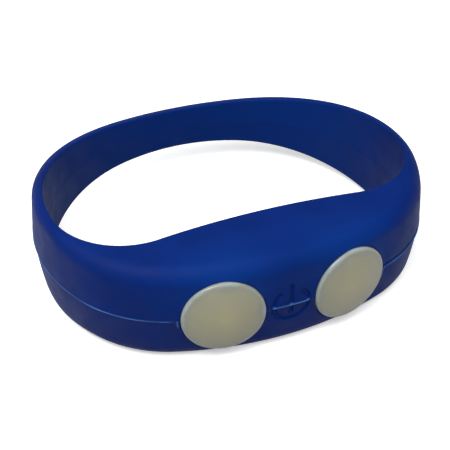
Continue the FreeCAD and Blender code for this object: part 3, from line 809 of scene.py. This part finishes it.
        # share of painted light in the silicone's colour
        glow = self.glow(places, rows_now)
        mark = self.mark(places, rows_now)
        raised = self.relief(places, rows_now, flash, mark)
        moves = [vert.normal * float(rise) * MM for vert, rise in zip(verts, raised)]
        for vert, move in zip(verts, moves):
            vert.co += move
        for name, shares in (("flash", flash), ("glow", glow), ("mark", mark)):
            for vert, share in zip(verts, shares):
                vert[layers[name]] = float(share)
        gone = [vert for vert in verts if vert[layers["inside"]] > 0.5]
        bmesh.ops.delete(shape, geom=gone, context="VERTS")
        for name in marks:
            shape.verts.layers.float.remove(shape.verts.layers.float[name])
        return shape

    def sink_holes(self, shape: bmesh.types.BMesh) -> None:
        """Run a rounded lip and a straight wall in from each lens hole's edge.

        Args:
            shape: the skin, whose open edges are the two holes.
        """
        rims = [edge for edge in shape.edges if edge.is_boundary]
        for side in Side:
            axis = Vector((side.value * float(self.axis[0]), float(self.axis[1]), 0.0))
            origin = Vector((0.0, self.arc_centre, self.middle)) * MM
            loop = [edge for edge in rims if edge.verts[0].co.x * side.value > 0]
            steps = [math.radians(turn) for turn in (30.0, 60.0, 90.0)]
            last = (0.0, 0.0)
            for turn in steps:
                place = (self.lip_round * math.sin(turn), self.lip_round * (1 - math.cos(turn)))
                loop = self.step_in(shape, loop, axis, origin,
                                    (place[0] - last[0]) * MM, (place[1] - last[1]) * MM)
                last = place
            loop = self.step_in(shape, loop, axis, origin, 0.0, self.hole_depth * MM)
            floor = list({vert for edge in loop for vert in edge.verts})
            level = self.ring.front_radius - self.hole_depth - self.floor_drop
            for vert in floor:
                out = (vert.co - origin).dot(axis)
                vert.co += axis * (level * MM - out)
            bmesh.ops.contextual_create(shape, geom=loop)
        bmesh.ops.recalc_face_normals(shape, faces=shape.faces)

    @staticmethod
    def step_in(shape: bmesh.types.BMesh, loop: list[bmesh.types.BMEdge], axis: Vector,
                origin: Vector, inward: float, down: float) -> list[bmesh.types.BMEdge]:
        """Extrude a hole's edge loop a step towards its axis and into the wall.

        Args:
            shape: the band's bmesh.
            loop: edges to extrude.
            axis: outward direction of the hole.
            origin: a point of the hole's axis.
            inward: step towards the axis, in metres.
            down: step into the wall, in metres.

        Returns:
            The new loop's edges.
        """
        made = bmesh.ops.extrude_edge_only(shape, edges=loop)["geom"]
        for vert in [item for item in made if isinstance(item, bmesh.types.BMVert)]:
            arm = vert.co - origin
            arm -= axis * arm.dot(axis)
            vert.co += -arm.normalized() * inward - axis * down
        return [item for item in made if isinstance(item, bmesh.types.BMEdge)]

    # -- what is cut out of the silicone
    def module_block(self) -> bpy.types.Object:
        """Bow-shaped block that leaves the pocket of the light module.

        Returns:
            The cutting block.
        """
        radius = self.ring.front_radius - self.pocket_front
        half = math.asin(self.pocket_half / radius)
        shape = bmesh.new()
        start = shape.verts.new(Vector((-self.pocket_half, self.arc_centre - radius * math.cos(half),
                                        self.middle - self.pocket_height / 2)) * MM)
        centre = Vector((0.0, self.arc_centre, start.co.z / MM)) * MM
        bmesh.ops.spin(shape, geom=[start], cent=centre, axis=(0.0, 0.0, 1.0), angle=2 * half,
                       steps=48)
        shape.verts.ensure_lookup_table()
        ends = [min(shape.verts, key=lambda v: v.co.x), max(shape.verts, key=lambda v: v.co.x)]
        back_y = (self.ring.front_y + self.pocket_back) * MM
        corners = [shape.verts.new((end.co.x, back_y, end.co.z)) for end in ends]
        for pair in ((ends[0], corners[0]), (ends[1], corners[1]), corners):
            shape.edges.new(pair)
        face = bmesh.ops.contextual_create(shape, geom=list(shape.edges))["faces"][0]
        raised = bmesh.ops.extrude_face_region(shape, geom=[face])["geom"]
        top = [item for item in raised if isinstance(item, bmesh.types.BMVert)]
        bmesh.ops.translate(shape, verts=top, vec=(0.0, 0.0, self.pocket_height * MM))
        upright = [edge for edge in shape.edges
                   if abs(edge.verts[0].co.z - edge.verts[1].co.z) > MM
                   and abs(abs(edge.verts[0].co.x) - self.pocket_half * MM) < 1e-6]
        bmesh.ops.bevel(shape, geom=upright, offset=self.pocket_corner * MM, segments=6, profile=0.5,
                        affect="EDGES", material=-1)
        bmesh.ops.recalc_face_normals(shape, faces=shape.faces)
        return make_object("cut_pocket", finish_mesh("cut_pocket", shape, 40.0))

    def window_block(self) -> bpy.types.Object:
        """Round-ended slot through the wrist side, where the battery door shows.

        Returns:
            The cutting block.
        """
        shape = bmesh.new()
        radius = self.window_height / 2
        straight = self.window_half - radius
        disc = bmesh.ops.create_circle(shape, cap_ends=True, cap_tris=False, segments=64,
                                       radius=radius * MM)
        bmesh.ops.transform(shape, matrix=ALONG_Y, verts=disc["verts"])
        for vert in disc["verts"]:
            vert.co.x += math.copysign(straight, vert.co.x) * MM if abs(vert.co.x) > 1e-7 else 0.0
        start = self.ring.front_y + self.window_start
        bmesh.ops.translate(shape, verts=shape.verts, vec=Vector((0.0, start, self.middle)) * MM)
        raised = bmesh.ops.extrude_face_region(shape, geom=list(shape.faces))["geom"]
        far = [item for item in raised if isinstance(item, bmesh.types.BMVert)]
        bmesh.ops.translate(shape, verts=far, vec=(0.0, self.window_reach * MM, 0.0))
        bmesh.ops.recalc_face_normals(shape, faces=shape.faces)
        return make_object("cut_window", finish_mesh("cut_window", shape, 40.0))

    def plunger_rod(self) -> bpy.types.Object:
        """Short rod that leaves room for the plunger behind the press pad.

        Returns:
            The cutting rod.
        """
        shape = bmesh.new()
        start = Vector((0.0, self.ring.front_y + self.press_floor, self.middle)) * MM
        length = self.plunger_room * MM
        place = Matrix.Translation(start + Vector((0.0, length / 2, 0.0))) @ ALONG_Y
        radius = self.plunger_radius * MM
        bmesh.ops.create_cone(shape, cap_ends=True, cap_tris=False, segments=48, matrix=place,
                              radius1=radius, radius2=radius, depth=length)
        return make_object("cut_plunger", finish_mesh("cut_plunger", shape, 40.0))

    def build(self, finish: "SiliconeFinish") -> bpy.types.Object:
        """Make the band, hollow it for the module and put it on its bodies.

        Args:
            finish: the silicone's finish.

        Returns:
            The finished band.
        """
        shape = self.skin()
        self.sink_holes(shape)
        band = make_object(self.name, finish_mesh(self.name, shape, 30.0))
        cutters = [self.module_block(), self.window_block(), self.plunger_rod()]
        for cutter in cutters:
            cut = band.modifiers.new(cutter.name, "BOOLEAN")
            cut.operation, cut.solver, cut.object = "DIFFERENCE", "EXACT", cutter
        hollow = band.evaluated_get(bpy.context.evaluated_depsgraph_get())
        mesh = bpy.data.meshes.new_from_object(hollow)
        band.modifiers.clear()
        band.data = mesh
        mesh.name = self.name
        for cutter in cutters:
            bpy.data.objects.remove(cutter)
        mesh.materials.clear()
        mesh.materials.append(finish.material())
        front = self.ring.front_y
        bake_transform(band, Body.BAND.value, Body.BUTTON.value,
                 start=tuple(Vector((0.0, front + self.press_start, self.middle)) * MM),
                 end=tuple(Vector((0.0, front + self.press_end, self.middle)) * MM))
        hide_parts("silicone_band", "press_pad")
        report(band, Body.BAND)
        return band


# ------------------------------------------------------------------ finishes
@dataclass(frozen=True)
class Finish:
    """A surface's colour and gloss, with a fine relief and an uneven tone."""

    name: str
    colour: str
    second: str
    roughness: float
    grain_mm: float
    relief: float
    mottle_mm: float = 6.0
    metallic: float = 0.0
    ior: float = 1.5
    scatter: float = 0.0
    scatter_mm: tuple[float, float, float] = (1.0, 1.0, 1.0)

    def material(self) -> bpy.types.Material:
        """Build the material once and give it again when asked.

        Returns:
            The material.
        """
        known = bpy.data.materials.get(self.name)
        if known:
            return known
        made, tree = new_material(self.name)
        place = add_node(tree, "ShaderNodeTexCoord").outputs["Object"]
        patches = add_node(tree, "ShaderNodeTexNoise",
                           {"Vector": place, "Scale": 1.0 / (self.mottle_mm * MM), "Detail": 3.0})
        tone = add_node(tree, "ShaderNodeValToRGB", {"Fac": patches.outputs["Fac"]})
        tone.color_ramp.elements[0].position, tone.color_ramp.elements[1].position = 0.35, 0.65
        tone.color_ramp.elements[0].color = linear(self.colour)
        tone.color_ramp.elements[1].color = linear(self.second)
        grain = add_node(tree, "ShaderNodeTexNoise",
                         {"Vector": place, "Scale": 1.0 / (self.grain_mm * MM), "Detail": 4.0})
        gloss = add_node(tree, "ShaderNodeMapRange",
                         {"Value": grain.outputs["Fac"], "From Min": 0.3, "From Max": 0.7,
                          "To Min": self.roughness * 0.88, "To Max": self.roughness * 1.12})
        bump = add_node(tree, "ShaderNodeBump", {"Height": grain.outputs["Fac"], "Strength": 0.35,
                                                 "Distance": self.relief * MM})
        shader = add_node(tree, "ShaderNodeBsdfPrincipled", {
            "Base Color": tone.outputs["Color"], "Roughness": gloss.outputs["Result"],
            "Normal": bump.outputs["Normal"], "Metallic": self.metallic, "IOR": self.ior,
            "Subsurface Weight": self.scatter, "Subsurface Radius": self.scatter_mm,
            "Subsurface Scale": MM})
        add_node(tree, "ShaderNodeOutputMaterial", {"Surface": shader.outputs["BSDF"]})
        return made


@dataclass(frozen=True)
class SiliconeFinish:
    """Pigmented silicone rubber, with a paler flash that is partly a painted highlight, painted light over
    the white module and in the strap, and a painted tone in its recesses.
    """

    name: str
    colour: str
    second: str
    # painted light: the lighter blue over the module, along its roll and in the strap
    lit: str
    # the flash's paler blue, partly a painted highlight on its ridge; lint specks take it too
    flash: str
    # painted recess tone: a set blue in the sunk mark and the crease, in place of their light and shade
    sunk: str
    roughness: float = 0.6
    grain_mm: float = 0.28
    relief: float = 0.012
    wave_mm: float = 3.5
    wave_relief: float = 0.02
    mottle_mm: float = 7.0
    speck_mm: float = 5.5
    speck_size_mm: float = 0.16
    speck_strength: float = 0.5
    speck_rarity: float = 0.62
    ior: float = 1.41
    specular: float = 0.15
    scatter: float = 0.12
    scatter_mm: tuple[float, float, float] = (0.3, 0.6, 1.4)

    def tone(self, tree: bpy.types.NodeTree, place: bpy.types.NodeSocket) -> bpy.types.NodeSocket:
        """Colour: two close blues, painted light, the flash partly as a painted highlight, a painted recess
        tone and a few specks of lint.

        Args:
            tree: the material's node tree.
            place: Object coordinates.

        Returns:
            The colour socket.
        """
        patches = add_node(tree, "ShaderNodeTexNoise",
                           {"Vector": place, "Scale": 1.0 / (self.mottle_mm * MM), "Detail": 2.0})
        base = add_node(tree, "ShaderNodeValToRGB", {"Fac": patches.outputs["Fac"]})
        base.color_ramp.elements[0].position, base.color_ramp.elements[1].position = 0.35, 0.65
        base.color_ramp.elements[0].color = linear(self.colour)
        base.color_ramp.elements[1].color = linear(self.second)
        # painted light: the glow share mixes in the lit blue
        glow = add_node(tree, "ShaderNodeAttribute", attribute_name="glow")
        painted_light_mix = add_node(tree, "ShaderNodeMix", {0: glow.outputs["Fac"], 6: base.outputs["Color"],
                                                  7: linear(self.lit)}, data_type="RGBA")
        # painted recess tone in the sunk mark and the crease, in place of their light and shade
        mark = add_node(tree, "ShaderNodeAttribute", attribute_name="mark")
        recess_tone_mix = add_node(tree, "ShaderNodeMix", {0: mark.outputs["Fac"], 6: painted_light_mix.outputs[2],
                                                   7: linear(self.sunk)}, data_type="RGBA")
        # the flash paler, partly a painted highlight on its ridge
        line = add_node(tree, "ShaderNodeAttribute", attribute_name="flash")
        flash_highlight_mix = add_node(tree, "ShaderNodeMix", {0: line.outputs["Fac"], 6: recess_tone_mix.outputs[2],
                                                 7: linear(self.flash)}, data_type="RGBA")
        lint = add_node(tree, "ShaderNodeTexVoronoi",
                        {"Vector": place, "Scale": 1.0 / (self.speck_mm * MM), "Randomness": 1.0})
        size = self.speck_size_mm / self.speck_mm
        near = add_node(tree, "ShaderNodeMapRange",
                        {"Value": lint.outputs["Distance"], "From Min": size / 2, "From Max": size,
                         "To Min": self.speck_strength, "To Max": 0.0})
        few = add_node(tree, "ShaderNodeMath", {0: lint.outputs["Color"], 1: self.speck_rarity},
                       operation="GREATER_THAN")
        amount = add_node(tree, "ShaderNodeMath", {0: near.outputs["Result"], 1: few.outputs["Value"]},
                          operation="MULTIPLY")
        dusty = add_node(tree, "ShaderNodeMix", {0: amount.outputs["Value"], 6: flash_highlight_mix.outputs[2],
                                                 7: linear(self.flash)}, data_type="RGBA")
        return dusty.outputs[2]

    def material(self) -> bpy.types.Material:
        """Build the silicone's material.

        Returns:
            The material.
        """
        made, tree = new_material(self.name)
        place = add_node(tree, "ShaderNodeTexCoord").outputs["Object"]
        grain = add_node(tree, "ShaderNodeTexNoise",
                         {"Vector": place, "Scale": 1.0 / (self.grain_mm * MM), "Detail": 3.0})
        wave = add_node(tree, "ShaderNodeTexNoise",
                        {"Vector": place, "Scale": 1.0 / (self.wave_mm * MM), "Detail": 2.0})
        gloss = add_node(tree, "ShaderNodeMapRange",
                         {"Value": wave.outputs["Fac"], "From Min": 0.3, "From Max": 0.7,
                          "To Min": self.roughness * 0.9, "To Max": self.roughness * 1.1})
        broad = add_node(tree, "ShaderNodeBump", {"Height": wave.outputs["Fac"], "Strength": 0.5,
                                                  "Distance": self.wave_relief * MM})
        fine = add_node(tree, "ShaderNodeBump", {"Height": grain.outputs["Fac"], "Strength": 0.4,
                                                 "Distance": self.relief * MM,
                                                 "Normal": broad.outputs["Normal"]})
        shader = add_node(tree, "ShaderNodeBsdfPrincipled", {
            "Base Color": self.tone(tree, place), "Roughness": gloss.outputs["Result"],
            "Normal": fine.outputs["Normal"], "IOR": self.ior,
            "Specular IOR Level": self.specular, "Subsurface Weight": self.scatter,
            "Subsurface Radius": self.scatter_mm, "Subsurface Scale": MM})
        add_node(tree, "ShaderNodeOutputMaterial", {"Surface": shader.outputs["BSDF"]})
        return made


@dataclass(frozen=True)
class OpalFinish:
    """Frosted opal plastic over a warm LED, cooler towards its rim, with a paler, bluish edge that is painted
    light on the rounded rim.
    """

    name: str
    centre: str
    middle: str
    rim: str
    # painted light: the paler, bluish tone of the rounded rim
    edge: str
    roughness: float = 0.2
    grain_mm: float = 0.3
    relief: float = 0.01
    mottle_mm: float = 3.0
    ior: float = 1.49
    scatter: float = 0.35
    scatter_mm: tuple[float, float, float] = (1.6, 1.5, 1.1)

    def material(self) -> bpy.types.Material:
        """Build the opal material once and give it again when asked.

        Returns:
            The material.
        """
        known = bpy.data.materials.get(self.name)
        if known:
            return known
        made, tree = new_material(self.name)
        place = add_node(tree, "ShaderNodeTexCoord").outputs["Object"]
        patches = add_node(tree, "ShaderNodeTexNoise",
                           {"Vector": place, "Scale": 1.0 / (self.mottle_mm * MM), "Detail": 3.0})
        out = add_node(tree, "ShaderNodeAttribute", attribute_name="from_axis")
        sway = add_node(tree, "ShaderNodeMapRange", {"Value": patches.outputs["Fac"], "From Min": 0.3,
                                                     "From Max": 0.7, "To Min": -0.07, "To Max": 0.07})
        ring = add_node(tree, "ShaderNodeMath", {0: out.outputs["Fac"], 1: sway.outputs["Result"]},
                        operation="ADD")
        tone = add_node(tree, "ShaderNodeValToRGB", {"Fac": ring.outputs["Value"]})
        ramp = tone.color_ramp
        ramp.interpolation = "B_SPLINE"
        ramp.elements[0].position, ramp.elements[0].color = 0.05, linear(self.centre)
        ramp.elements[1].position, ramp.elements[1].color = 0.8, linear(self.middle)
        # the last two stops make the rim cooler, and paint light on its rounded edge
        ramp.elements.new(0.94).color = linear(self.rim)
        ramp.elements.new(1.0).color = linear(self.edge)
        grain = add_node(tree, "ShaderNodeTexNoise",
                         {"Vector": place, "Scale": 1.0 / (self.grain_mm * MM), "Detail": 3.0})
        gloss = add_node(tree, "ShaderNodeMapRange",
                         {"Value": grain.outputs["Fac"], "From Min": 0.3, "From Max": 0.7,
                          "To Min": self.roughness * 0.88, "To Max": self.roughness * 1.12})
        bump = add_node(tree, "ShaderNodeBump", {"Height": grain.outputs["Fac"], "Strength": 0.35,
                                                 "Distance": self.relief * MM})
        shader = add_node(tree, "ShaderNodeBsdfPrincipled", {
            "Base Color": tone.outputs["Color"], "Roughness": gloss.outputs["Result"],
            "Normal": bump.outputs["Normal"], "IOR": self.ior, "Subsurface Weight": self.scatter,
            "Subsurface Radius": self.scatter_mm, "Subsurface Scale": MM})
        add_node(tree, "ShaderNodeOutputMaterial", {"Surface": shader.outputs["BSDF"]})
        return made


# Silicone rubber, compression moulded in a blasted mould: deep blue with a soft, wide sheen.
# Its lit blue is painted light, its flash blue partly a painted highlight and its sunk blue a painted recess
# tone.
SILICONE = SiliconeFinish("silicone_moulded_satin", "001E61", "002168", "002D77", "4A78B4",
                           "00246C")
# Opal acrylic, moulded and frosted: the LED's warm phosphor shows through its middle.
# Its paler, bluish edge is painted light on the rounded rim.
OPAL = OpalFinish("acrylic_opal_frosted", "AAA57D", "96957E", "8B8D80", "949E9F")
# ABS shell, moulded from a spark-eroded mould: a fine, even matt grain.
SHELL = Finish("abs_moulded_matt", "DAD9D3", "D4D3CC", 0.5, 0.2, 0.02)
# Nickel-plated steel screws, turned: bright, with a faint uneven polish.
SCREW = Finish("steel_nickel_plated", "B9B6AF", "ACA9A2", 0.28, 0.08, 0.004, 1.0, metallic=1.0)
# Solder-mask lacquer over glass-fibre laminate: glossy green over a faint weave.
BOARD = Finish("laminate_solder_mask", "1E5A36", "1A5031", 0.3, 0.35, 0.01)
# LED package in glossy white reflector plastic.
LED = Finish("ppa_reflector_white", "E6E4DA", "E0DED2", 0.35, 0.2, 0.005)
# Epoxy moulding compound, matt black, as on chips and switch bodies.
BLACK = Finish("epoxy_moulding_compound", "1C1C1E", "222224", 0.55, 0.1, 0.01)
# Fired barium-titanate ceramic of a chip capacitor: tan and slightly rough.
TAN = Finish("ceramic_fired_tan", "A07C55", "98744E", 0.5, 0.15, 0.01)
# Stainless can of a coin cell, deep drawn and brushed.
CELL = Finish("stainless_drawn_can", "B4B3AF", "A9A8A4", 0.3, 0.1, 0.004, 2.0, metallic=1.0)
# Nickel-plated phosphor-bronze leaf, stamped.
CONTACT = Finish("bronze_nickel_plated", "B3AD9E", "A8A292", 0.32, 0.12, 0.004, 1.5, metallic=1.0)


@dataclass
class OpalLens:
    """One milky lens: a low dome with a rounded rim, its head, and a hollow spigot."""

    band: SiliconeBand
    side: Side
    radius: float = 7.5
    proud: float = 0.1
    crown: float = 0.7
    edge: float = 0.5
    face_wall: float = 1.1
    head_depth: float = 3.1
    spigot_radius: float = 6.0
    spigot_depth: float = 4.4
    well_radius: float = 4.6
    turns: int = 128

    def profile(self) -> list[tuple[float, float]]:
        """Half section: distance from the axis and height over the silicone's front.

        Returns:
            The points from the crown round the outside to the well's roof.
        """
        flat = self.radius - self.edge
        dome = (flat ** 2 + self.crown ** 2) / (2 * self.crown)
        slope = math.asin(flat / dome)
        points = [(dome * math.sin(slope * k / 16), self.proud + self.crown
                   - dome * (1 - math.cos(slope * k / 16))) for k in range(17)]
        low = points[-1][1] - self.edge * math.cos(slope)
        reach = self.radius - points[-1][0] - self.edge * (1 - math.sin(slope))
        for k in range(1, 9):
            turn = slope + (math.pi / 2 - slope) * k / 8
            out = reach * k / 8 + self.edge * (math.sin(turn) - math.sin(slope))
            points.append((points[16][0] + out, low + self.edge * math.cos(turn)))
        roof = self.proud + self.crown / 2 - self.face_wall
        points += [(self.radius, -self.head_depth / 2), (self.radius, -self.head_depth),
                   (self.spigot_radius, -self.head_depth), (self.spigot_radius, -self.spigot_depth),
                   (self.well_radius, -self.spigot_depth), (self.well_radius, roof), (0.0, roof)]
        return points

    def build(self, finish: OpalFinish) -> bpy.types.Object:
        """Spin the lens, turn it to face out of the pod and put it on the band.

        Args:
            finish: the lens's finish.

        Returns:
            The finished lens.
        """
        name = f"opal_lens_{self.side.name.lower()}"
        shape = bmesh.new()
        out = shape.verts.layers.float.new("from_axis")
        verts = [shape.verts.new(Vector((r, 0.0, h)) * MM) for r, h in self.profile()]
        edges = [shape.edges.new(pair) for pair in zip(verts, verts[1:])]
        bmesh.ops.spin(shape, geom=verts + edges, cent=(0.0, 0.0, 0.0), axis=(0.0, 0.0, 1.0),
                       angle=2 * math.pi, steps=self.turns, use_merge=True)
        bmesh.ops.remove_doubles(shape, verts=shape.verts, dist=1e-7)
        bmesh.ops.recalc_face_normals(shape, faces=shape.faces)
        for vert in shape.verts:
            vert[out] = math.hypot(vert.co.x, vert.co.y) / (self.radius * MM)
        axis = Vector((self.side.value * self.band.axis[0], self.band.axis[1], 0.0))
        up = Vector((0.0, 0.0, 1.0))
        centre = Vector((0.0, self.band.arc_centre, self.band.middle))
        place = Matrix.Translation((centre + axis * self.band.ring.front_radius) * MM)
        basis = Matrix((up, axis.cross(up), axis)).transposed()
        bmesh.ops.transform(shape, matrix=place @ basis.to_4x4(), verts=shape.verts)
        lens = make_object(name, finish_mesh(name, shape, 40.0))
        lens.data.materials.append(finish.material())
        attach(lens, Body.BAND.value)
        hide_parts(f"light_lens_{self.side.name.lower()}")
        report(lens, Body.BAND)
        return lens


@dataclass
class LightModule:
    """The hidden module's CAD parts, each dressed in its own finish."""

    dress: dict[str, Finish] = field(default_factory=lambda: {
        "front_shell": SHELL, "back_shell": SHELL, "battery_door": SHELL, "button_plunger": SHELL,
        "door_screws": SCREW, "board_screws": SCREW, "circuit_board": BOARD,
        "led_left": LED, "led_right": LED, "switch_base": BLACK, "switch_stem": BLACK,
        "switch_cover": CONTACT, "controller_chip": BLACK, "chip_resistors": BLACK,
        "chip_capacitor": TAN, "coin_cell_left": CELL, "coin_cell_right": CELL,
        "cell_contact_left": CONTACT, "cell_contact_right": CONTACT, "cell_bridge_strip": CONTACT})

    def build(self, nodes: dict[str, bpy.types.Object]) -> None:
        """Give each CAD part its finish.

        Args:
            nodes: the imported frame's objects by name.
        """
        for name, finish in self.dress.items():
            for slot in nodes[name].material_slots:
                slot.material = finish.material()
            LOG.info("%-20s dressed in %s", name, finish.name)


# --------------------------------------------------------------------- stage
@dataclass(frozen=True)
class Lamp:
    """One square lamp that looks at the ring; its two angles are in degrees."""

    name: str
    turn: float
    tilt: float
    away: float
    size: float
    power: float
    mirrored: bool

    def hang(self) -> None:
        """Hang the lamp, turned round from the front and tilted up over the floor."""
        data = bpy.data.lights.new(self.name, "AREA")
        data.shape, data.size, data.energy = "SQUARE", self.size * MM, self.power
        lamp = bpy.data.objects.new(self.name, data)
        bpy.context.scene.collection.objects.link(lamp)
        turn, tilt = math.radians(self.turn), math.radians(self.tilt)
        place = (math.sin(turn) * math.cos(tilt), -math.cos(turn) * math.cos(tilt), math.sin(tilt))
        lamp.location = Vector(place) * self.away * MM
        lamp.rotation_euler = lamp.location.to_track_quat("Z", "Y").to_euler()
        lamp.visible_glossy = self.mirrored


@dataclass
class Studio:
    """Pale floor, soft lamps and the camera."""

    floor_half: float = 1500.0
    azimuth: float = -21.936
    elevation: float = 36.752
    roll: float = 0.575
    distance: float = 191.9
    focal: float = 77.158
    shift_x: float = 0.0021
    shift_y: float = -0.051
    aim_height: float = 9.9
    paper: str = "707070"
    paper_seen: str = "F6F6F6"
    daylight: str = "F6F8FC"
    white: str = "FFFFFF"
    paper_glow: float = 0.42
    mirrored_glow: float = 0.0
    fill: float = 0.4
    ceiling: float = 0.08
    lamps: tuple[Lamp, ...] = (Lamp("key_lamp", -12.0, 61.0, 600.0, 320.0, 1.9, False),
                               Lamp("rim_lamp", -72.0, 64.0, 450.0, 260.0, 1.5, True))

    def floor(self) -> None:
        """Lay the floor: white to the camera, but with the object's soft shadow."""
        shape = bmesh.new()
        bmesh.ops.create_grid(shape, x_segments=1, y_segments=1, size=self.floor_half * MM)
        sheet = make_object("floor", finish_mesh("floor", shape, 30.0))
        made, tree = new_material("studio_paper_white")
        sight = add_node(tree, "ShaderNodeLightPath")
        seen = add_node(tree, "ShaderNodeMath", {0: sight.outputs["Is Camera Ray"],
                                                 1: sight.outputs["Is Glossy Ray"]}, operation="MAXIMUM")
        shown = add_node(tree, "ShaderNodeMath", {0: seen.outputs["Value"],
                                                  1: sight.outputs["Is Transmission Ray"]},
                         operation="MAXIMUM")
        matt = add_node(tree, "ShaderNodeBsdfDiffuse", {"Color": linear(self.paper)})
        paper = add_node(tree, "ShaderNodeBsdfDiffuse", {"Color": linear(self.paper_seen)})
        glowing = add_node(tree, "ShaderNodeMapRange", {"Value": sight.outputs["Is Camera Ray"],
                                                        "To Min": self.mirrored_glow,
                                                        "To Max": self.paper_glow})
        glow = add_node(tree, "ShaderNodeEmission", {"Color": linear(self.white),
                                                     "Strength": glowing.outputs["Result"]})
        lit = add_node(tree, "ShaderNodeAddShader", {0: paper.outputs["BSDF"], 1: glow.outputs["Emission"]})
        both = add_node(tree, "ShaderNodeMixShader", {0: shown.outputs["Value"], 1: matt.outputs["BSDF"],
                                                      2: lit.outputs["Shader"]})
        add_node(tree, "ShaderNodeOutputMaterial", {"Surface": both.outputs["Shader"]})
        sheet.data.materials.append(made)

    def sky(self) -> None:
        """Fill the studio with even light, white at the horizon and dim overhead in reflections."""
        world = bpy.data.worlds.new("studio")
        bpy.context.scene.world = world
        world.use_nodes = True
        tree = world.node_tree
        tree.nodes.clear()
        sight = add_node(tree, "ShaderNodeLightPath")
        up = add_node(tree, "ShaderNodeSeparateXYZ",
                      {"Vector": add_node(tree, "ShaderNodeTexCoord").outputs["Generated"]}).outputs["Z"]
        ceiling = add_node(tree, "ShaderNodeMapRange", {"Value": up, "From Min": 0.03, "From Max": 0.3,
                                                        "To Min": 1.0, "To Max": self.ceiling})
        fill = add_node(tree, "ShaderNodeBackground", {"Color": linear(self.daylight), "Strength": self.fill})
        mirrored = add_node(tree, "ShaderNodeBackground", {"Color": linear(self.white),
                                                           "Strength": ceiling.outputs["Result"]})
        white = add_node(tree, "ShaderNodeBackground", {"Color": linear(self.white), "Strength": 1.0})
        inner = add_node(tree, "ShaderNodeMixShader", {0: sight.outputs["Is Glossy Ray"],
                                                       1: fill.outputs["Background"],
                                                       2: mirrored.outputs["Background"]})
        seen = add_node(tree, "ShaderNodeMath", {0: sight.outputs["Is Camera Ray"],
                                                 1: sight.outputs["Is Transmission Ray"]},
                        operation="MAXIMUM")
        both = add_node(tree, "ShaderNodeMixShader", {0: seen.outputs["Value"], 1: inner.outputs["Shader"],
                                                      2: white.outputs["Background"]})
        add_node(tree, "ShaderNodeOutputWorld", {"Surface": both.outputs["Shader"]})

    def camera(self) -> None:
        """Set up the camera from its two angles, roll, distance and lens."""
        data = bpy.data.cameras.new("camera")
        data.lens, data.sensor_width = self.focal, 36.0
        data.shift_x, data.shift_y = self.shift_x, self.shift_y
        data.clip_start, data.clip_end = 0.01, 10.0
        camera = bpy.data.objects.new("camera", data)
        bpy.context.scene.collection.objects.link(camera)
        turn, tilt = math.radians(self.azimuth), math.radians(self.elevation)
        back = Vector((math.sin(turn) * math.cos(tilt), -math.cos(turn) * math.cos(tilt), math.sin(tilt)))
        right = Vector((math.cos(turn), math.sin(turn), 0.0))
        up = back.cross(right)
        basis = Matrix((right, up, back)).transposed()
        spin = Matrix.Rotation(math.radians(self.roll), 3, "Z")
        place = Vector((0.0, 0.0, self.aim_height)) * MM + back * self.distance * MM
        camera.matrix_world = Matrix.Translation(place) @ (basis @ spin).to_4x4()
        bpy.context.scene.camera = camera

    def build(self) -> None:
        """Set the whole studio up."""
        self.floor()
        self.sky()
        for lamp in self.lamps:
            lamp.hang()
        self.camera()
        bpy.context.scene.view_settings.view_transform = "Standard"


def main() -> None:
    """Load the frame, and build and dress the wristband."""
    logging.basicConfig(level=logging.INFO, format="%(message)s")
    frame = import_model()
    Studio().build()
    band = SiliconeBand()
    band.build(SILICONE)
    for side in Side:
        OpalLens(band, side).build(OPAL)
    LightModule().build(frame["nodes"])
    bpy.context.view_layer.update()


if __name__ == "__main__":
    main()
